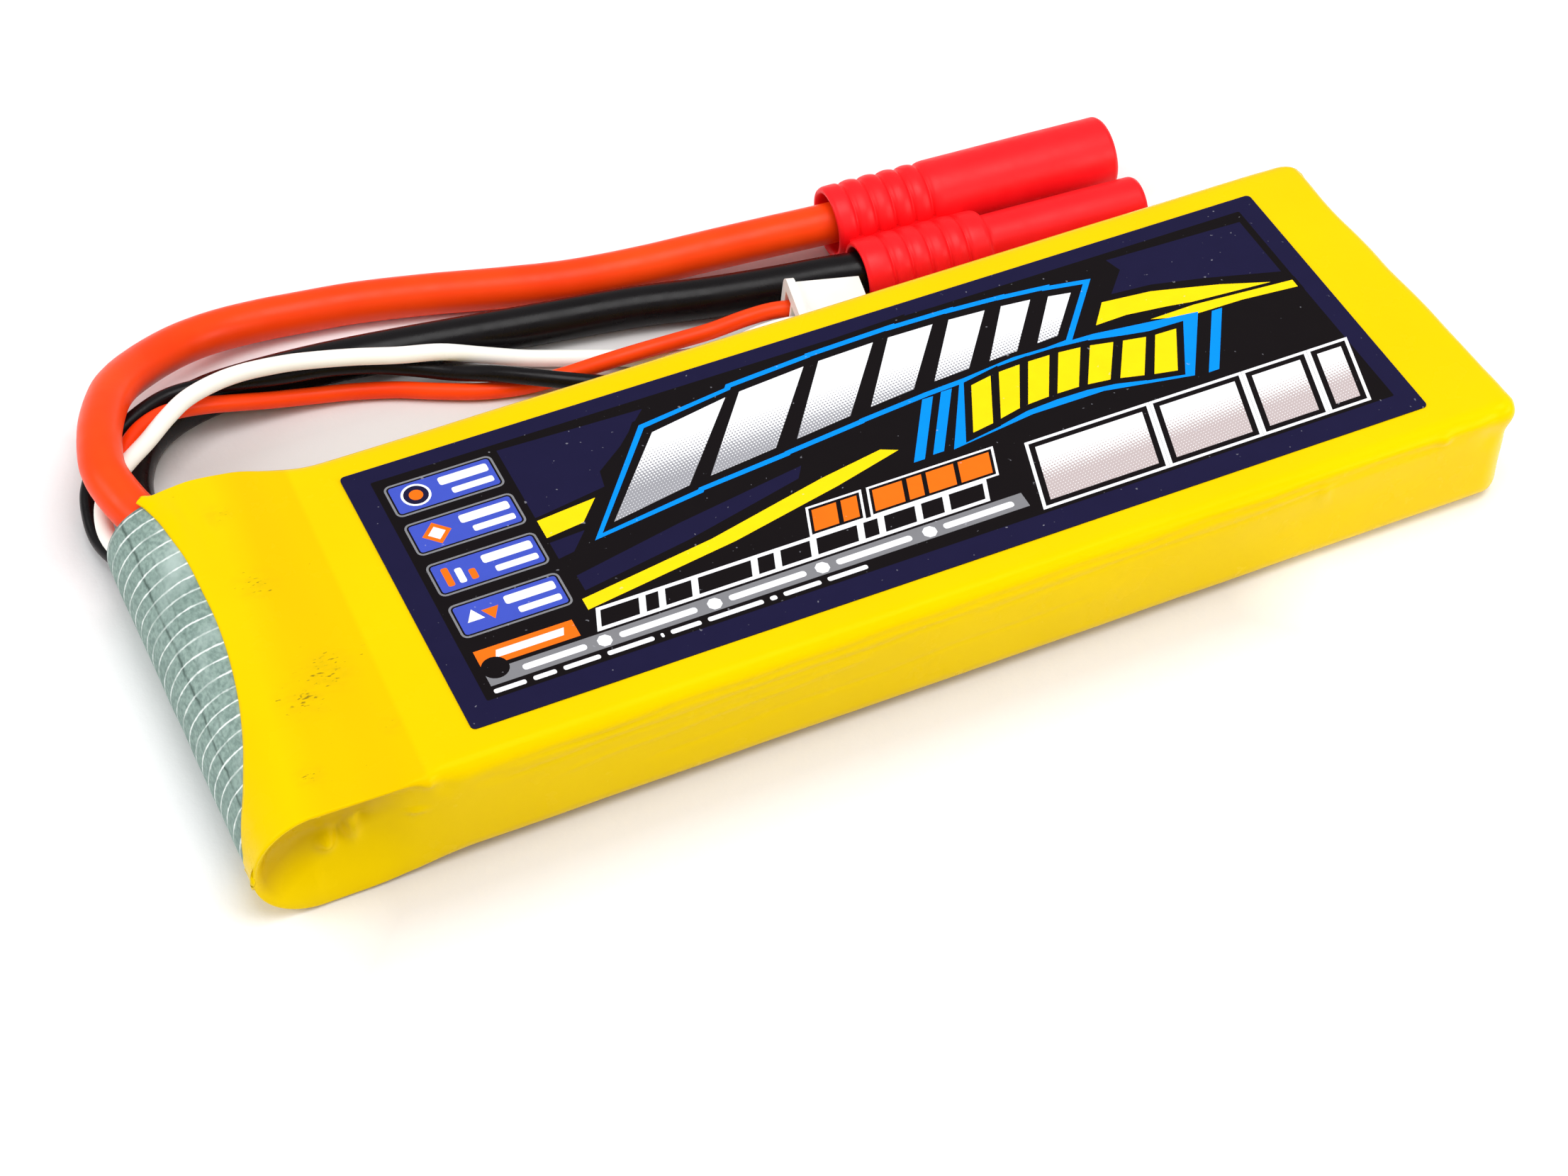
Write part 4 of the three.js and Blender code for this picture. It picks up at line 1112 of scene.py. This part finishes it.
def grow(shape, d):
    """The outline moved outwards by d, with mitred corners."""
    sign = 1 if signed_area(shape) > 0 else -1
    out = []
    for i, point in enumerate(shape):
        a, b, c = Vector(shape[i - 1]), Vector(point), Vector(shape[(i + 1) % len(shape)])
        e1, e2 = (b - a).normalized(), (c - b).normalized()
        m = (Vector((e1.y, -e1.x)) + Vector((e2.y, -e2.x))) * sign
        out.append(tuple(b + m / max(m.length_squared / 2, 0.35) * d))
    return out


def sticker_mesh(name, art, z_face, z_back, inks):
    """One flat sheet cut into the shapes of the art; a later shape covers an earlier one.

    A sheet that faces down is mirrored, so that it reads the right way from below.
    """
    side = 1 if z_face > z_back else -1
    coords, outlines = [], []
    for _, shape in art:
        outlines.append(list(range(len(coords), len(coords) + len(shape))))
        coords += [Vector(place) for place in (shape if signed_area(shape) >= 0 else shape[::-1])]
    verts, _, tris, _, _, origin = geometry.delaunay_2d_cdt(coords, [], outlines, 1, 1e-5, True)
    names = list(inks)
    points = [(x, side * y, z_face) for x, y in verts]
    faces = [tuple(tri)[::side] for tri, source in zip(tris, origin) if source]
    slots = [names.index(art[max(source)][0]) for source in origin if source]
    # The rim and the back, in the edge's colour
    base, outline = len(verts), art[0][1]
    count = len(outline)
    points += [(x, side * y, z) for x, y in outline for z in (z_face, z_back)]
    for i in range(count):
        a, b = base + 2 * i, base + 2 * ((i + 1) % count)
        faces.append((a, a + 1, b + 1, b)[::side])
    faces.append(tuple(base + 2 * i + 1 for i in range(count))[::-side])
    slots += [names.index("edge")] * (count + 1)
    obj = new_mesh(name, points, faces, list(inks.values()), slots, smooth=False)
    tidy_mesh(obj, 1e-7)
    return obj


def layered(art, shapes, layers):
    """Adds shapes over their outlines, layer by layer, from the widest to the narrowest."""
    for ink, width in layers:
        art += [(ink, grow(shape, width) if width else shape) for shape in shapes]


def leaning_block(x0, x1, lean, feet, tops):
    """A leaning block whose foot and top follow two curves."""
    return [(x0, lookup(feet, x0)), (x1, lookup(feet, x1)),
            (x1 + lean, lookup(tops, x1 + lean)), (x0 + lean, lookup(tops, x0 + lean))]


def spans(start, widths, gap=0.7):
    """The starts and ends of a row's pieces, from the widths they take with their gaps."""
    out = []
    for width in widths:
        out.append((start, start + width - gap))
        start += width
    return out


def badge_sign(sign, y):
    middle = y + 2.3
    return {
        "rings": [(ink, disc(-37.6, middle, radius))
                  for ink, radius in (("white", 1.5), ("navy", 1.25), ("orange", 0.7))],
        "diamonds": [("orange", disc(-37.6, middle, 1.5, 4)), ("white", disc(-37.6, middle, 0.9, 4))],
        "bars": [(ink, box_shape(x0, x1, y + 1.0, y + top, 0.2, 2)) for ink, x0, x1, top in
                 (("orange", -39.1, -38.4, 3.5), ("white", -37.9, -37.2, 3.0),
                  ("orange", -36.7, -36.0, 2.4))],
        "triangles": [("white", disc(-38.3, middle, 1.0, 3, 1.57)),
                      ("orange", disc(-36.6, middle, 1.0, 3, -1.57))],
    }[sign]


def front_art():
    """The front label's art as (ink, outline) pairs, from the bottom layer up."""
    art = [("navy", box_shape(-43.6, 58.4, -17.65, 17.6, 0.5)),
           ("black", box_shape(-41.1, 56.1, -15.0, 15.7, 0.2))]
    art += [("navy", shape) for shape in NAVY_FIELDS]
    for shape in SWOOSHES:
        layered(art, [shape], [("black", 0.45), ("yellow", 0)])
    bars = [leaning_block(*bar, BAR_FEET, BAR_TOPS) for bar in BARS]
    layered(art, bars, [("black", 2.3), ("blue", 1.55), ("black", 0.95), ("silver", 0)])
    # Banner of leaning blocks on a plain blue band, with a leaning stripe beside each end
    art.append(("blue", BANNER))
    for x, low, high in ((8.2, -3.6, 4.0), (10.4, -3.4, 4.2), (40.9, -4.4, 3.4)):
        art.append(("blue", slant(x, x + 1.2, low, high, 0.62 * (high - low))))
    blocks = [leaning_block(15.4 + i * 3.4, 15.4 + i * 3.4 + 2.4, 2.9, BANNER_FEET, BANNER_TOPS)
              for i in range(7)]
    layered(art, blocks, [("black", 0.75), ("yellow", 0)])
    # Orange tag row, and a dark leaning row edged in white
    tags = [slant(x, x + w, -8.0, -5.3, 0.9) for x, w in
            ((-4.6, 2.6), (-1.5, 1.7), (1.9, 3.2), (5.6, 1.6), (7.7, 3.0), (11.2, 3.4))]
    layered(art, tags, [("white", 0.55), ("black", 0.3), ("orange", 0)])
    widths = (4.6, 2.0, 3.4, 6.2, 2.4, 3.8, 5.0, 2.2, 4.0, 3.0, 4.4)
    row = [slant(*span, -10.9, -8.9, 0.7) for span in spans(-28.0, widths)]
    layered(art, row, [("white", 0.42), ("black", 0)])
    # Grey strip with dots and rows
    art.append(("grey", box_shape(-40.1, 15.8, -13.5, -11.6)))
    art.append(("black", disc(-38.9, -11.5, 1.35)))
    for x in (-28.4, -17.2, -6.0, 5.4):
        art.append(("white", disc(x, -12.6, 0.75, 8, 0.39)))
    for x, w in ((-36.6, 6.4), (-26.9, 7.9), (-15.7, 8.0), (-4.5, 8.0), (6.9, 7.6)):
        art.append(("white", box_shape(x, x + w, -12.95, -12.2, 0.3, 2)))
    for x0, x1 in spans(-40.1, (3.9, 3.0, 4.4, 5.4, 1.0, 3.8, 6.4, 1.4, 4.6, 4.9)):
        art.append(("white", box_shape(x0, x1, -14.5, -13.95, 0.2, 2)))
    # Orange tag
    art.append(("orange", box_shape(-40.1, -30.2, -11.1, -8.9)))
    art.append(("white", slant(-38.4, -31.6, -10.4, -9.5, 0.35)))
    art.append(("black", disc(-38.9, -11.5, 1.35)))
    # Large leaning blocks of falling width, edged in white
    panes = [slant(x, x + w, -13.6, -6.6, 2.0) for x, w in
             ((18.0, 12.0), (32.0, 8.6), (42.6, 5.6), (50.2, 2.8))]
    layered(art, panes, [("white", 0.95), ("black", 0.6), ("pearl", 0)])
    for y, sign in BADGES:
        plate = box_shape(-40.3, -29.1, y, y + 4.5, 0.7)
        layered(art, [plate], [("grey", 0), ("black", -0.22), ("badge", -0.4)])
        art += badge_sign(sign, y)
        art.append(("white", box_shape(-35.0, -29.9, y + 2.5, y + 3.6, 0.25, 2)))
        art.append(("white", box_shape(-34.2, -29.9, y + 1.0, y + 1.8, 0.2, 2)))
    return art


def rear_art():
    """The underside isn't seen: plain bands and rows in the front label's colours."""
    art = [("navy", box_shape(-43.6, 58.4, -17.65, 17.6, 0.5))]
    art.append(("black", box_shape(-41.1, 56.1, -15.0, 15.3, 0.3)))
    art.append(("yellow", box_shape(-39.5, 54.5, 11.2, 13.6, 0.3)))
    for column, x in enumerate((-39.0, 9.0)):
        y = 9.2
        for line in range(11):
            width = 44 - (line * 7 + column * 5) % 13
            art.append(("white", box_shape(x, x + width, y, y + 0.75, 0.25, 2)))
            y -= 2.05
    return art


def build_labels():
    inks = {name: print_material("ink_" + name, linear(*colour), HALFTONES.get(name))
            for name, colour in INKS.items()}
    front = sticker_mesh("front_label_print", front_art(), FRONT_FACE, FRONT_BACK, inks)
    stand_in(front, "front_label")
    rear = sticker_mesh("rear_label_print", rear_art(), REAR_FACE, REAR_BACK, inks)
    stand_in(rear, "rear_label")


# ---------------------------------------------------------------- everything together
def dress_inside():
    """Gives the CAD meshes that are hidden in the pack their materials."""
    nickel = metal_material("nickel_strip", linear(150, 146, 138), linear(196, 192, 182), 0.35,
                            (1, 8, 1))
    foil = metal_material("pouch_foil", linear(150, 152, 156), linear(188, 190, 196), 0.4)
    solder = metal_material("solder", linear(150, 152, 156), linear(206, 208, 212), 0.25)
    copper = metal_material("tinned_copper", linear(150, 112, 84), linear(206, 170, 140), 0.35,
                            (12, 1, 12))
    board, tape, foam = board_material(), tape_material(), foam_material()
    looks = {
        "tail_pad": paper_material(), "terminal_board": board, "cell_bonding_tape": foam,
        "cell_band_": tape, "cell_lower": foil, "cell_upper": foil, "tab_": nickel,
        "series_tab": nickel, "solder_": solder, "conductor_": copper}
    for name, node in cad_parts.items():
        for start, material in looks.items():
            if name.startswith(start):
                node.data.materials.clear()
                node.data.materials.append(material)


def main():
    make_camera()
    make_light()
    build_floor()
    dress_inside()
    build_sleeve(film_material())
    build_paper(threaded_paper_material())
    build_labels()
    red_nylon = moulded_material("red_nylon", linear(236, 14, 22), linear(248, 24, 32), 0.22)
    gold = metal_material("gold_plate", linear(190, 140, 60), linear(232, 190, 104), 0.22)
    white_nylon = moulded_material("white_nylon", linear(238, 235, 228), linear(246, 244, 240), 0.25)
    twin = [build_housing(red_nylon), *build_bullets(gold)]
    plug = [build_plug_body(white_nylon), build_crimp(-CONTACT_PITCH, "near", gold),
            build_crimp(0, "middle", gold), build_crimp(CONTACT_PITCH, "far", gold)]
    rubber = {
        "red": silicone_material("red_silicone", linear(244, 60, 8), linear(252, 72, 14)),
        "black": silicone_material("black_silicone", linear(12, 9, 11), linear(18, 15, 17), 0.28),
        "white": silicone_material("white_silicone", linear(250, 248, 238), linear(254, 253, 248))}
    for kind, colour in (("power", "red"), ("power", "black"), ("balance", "black"),
                         ("balance", "white"), ("balance", "red")):
        radius, with_pieces = (POWER_WIRE, twin) if kind == "power" else (BALANCE_WIRE, plug)
        build_lead(kind + "_wire_" + colour, radius, rubber[colour])


main()
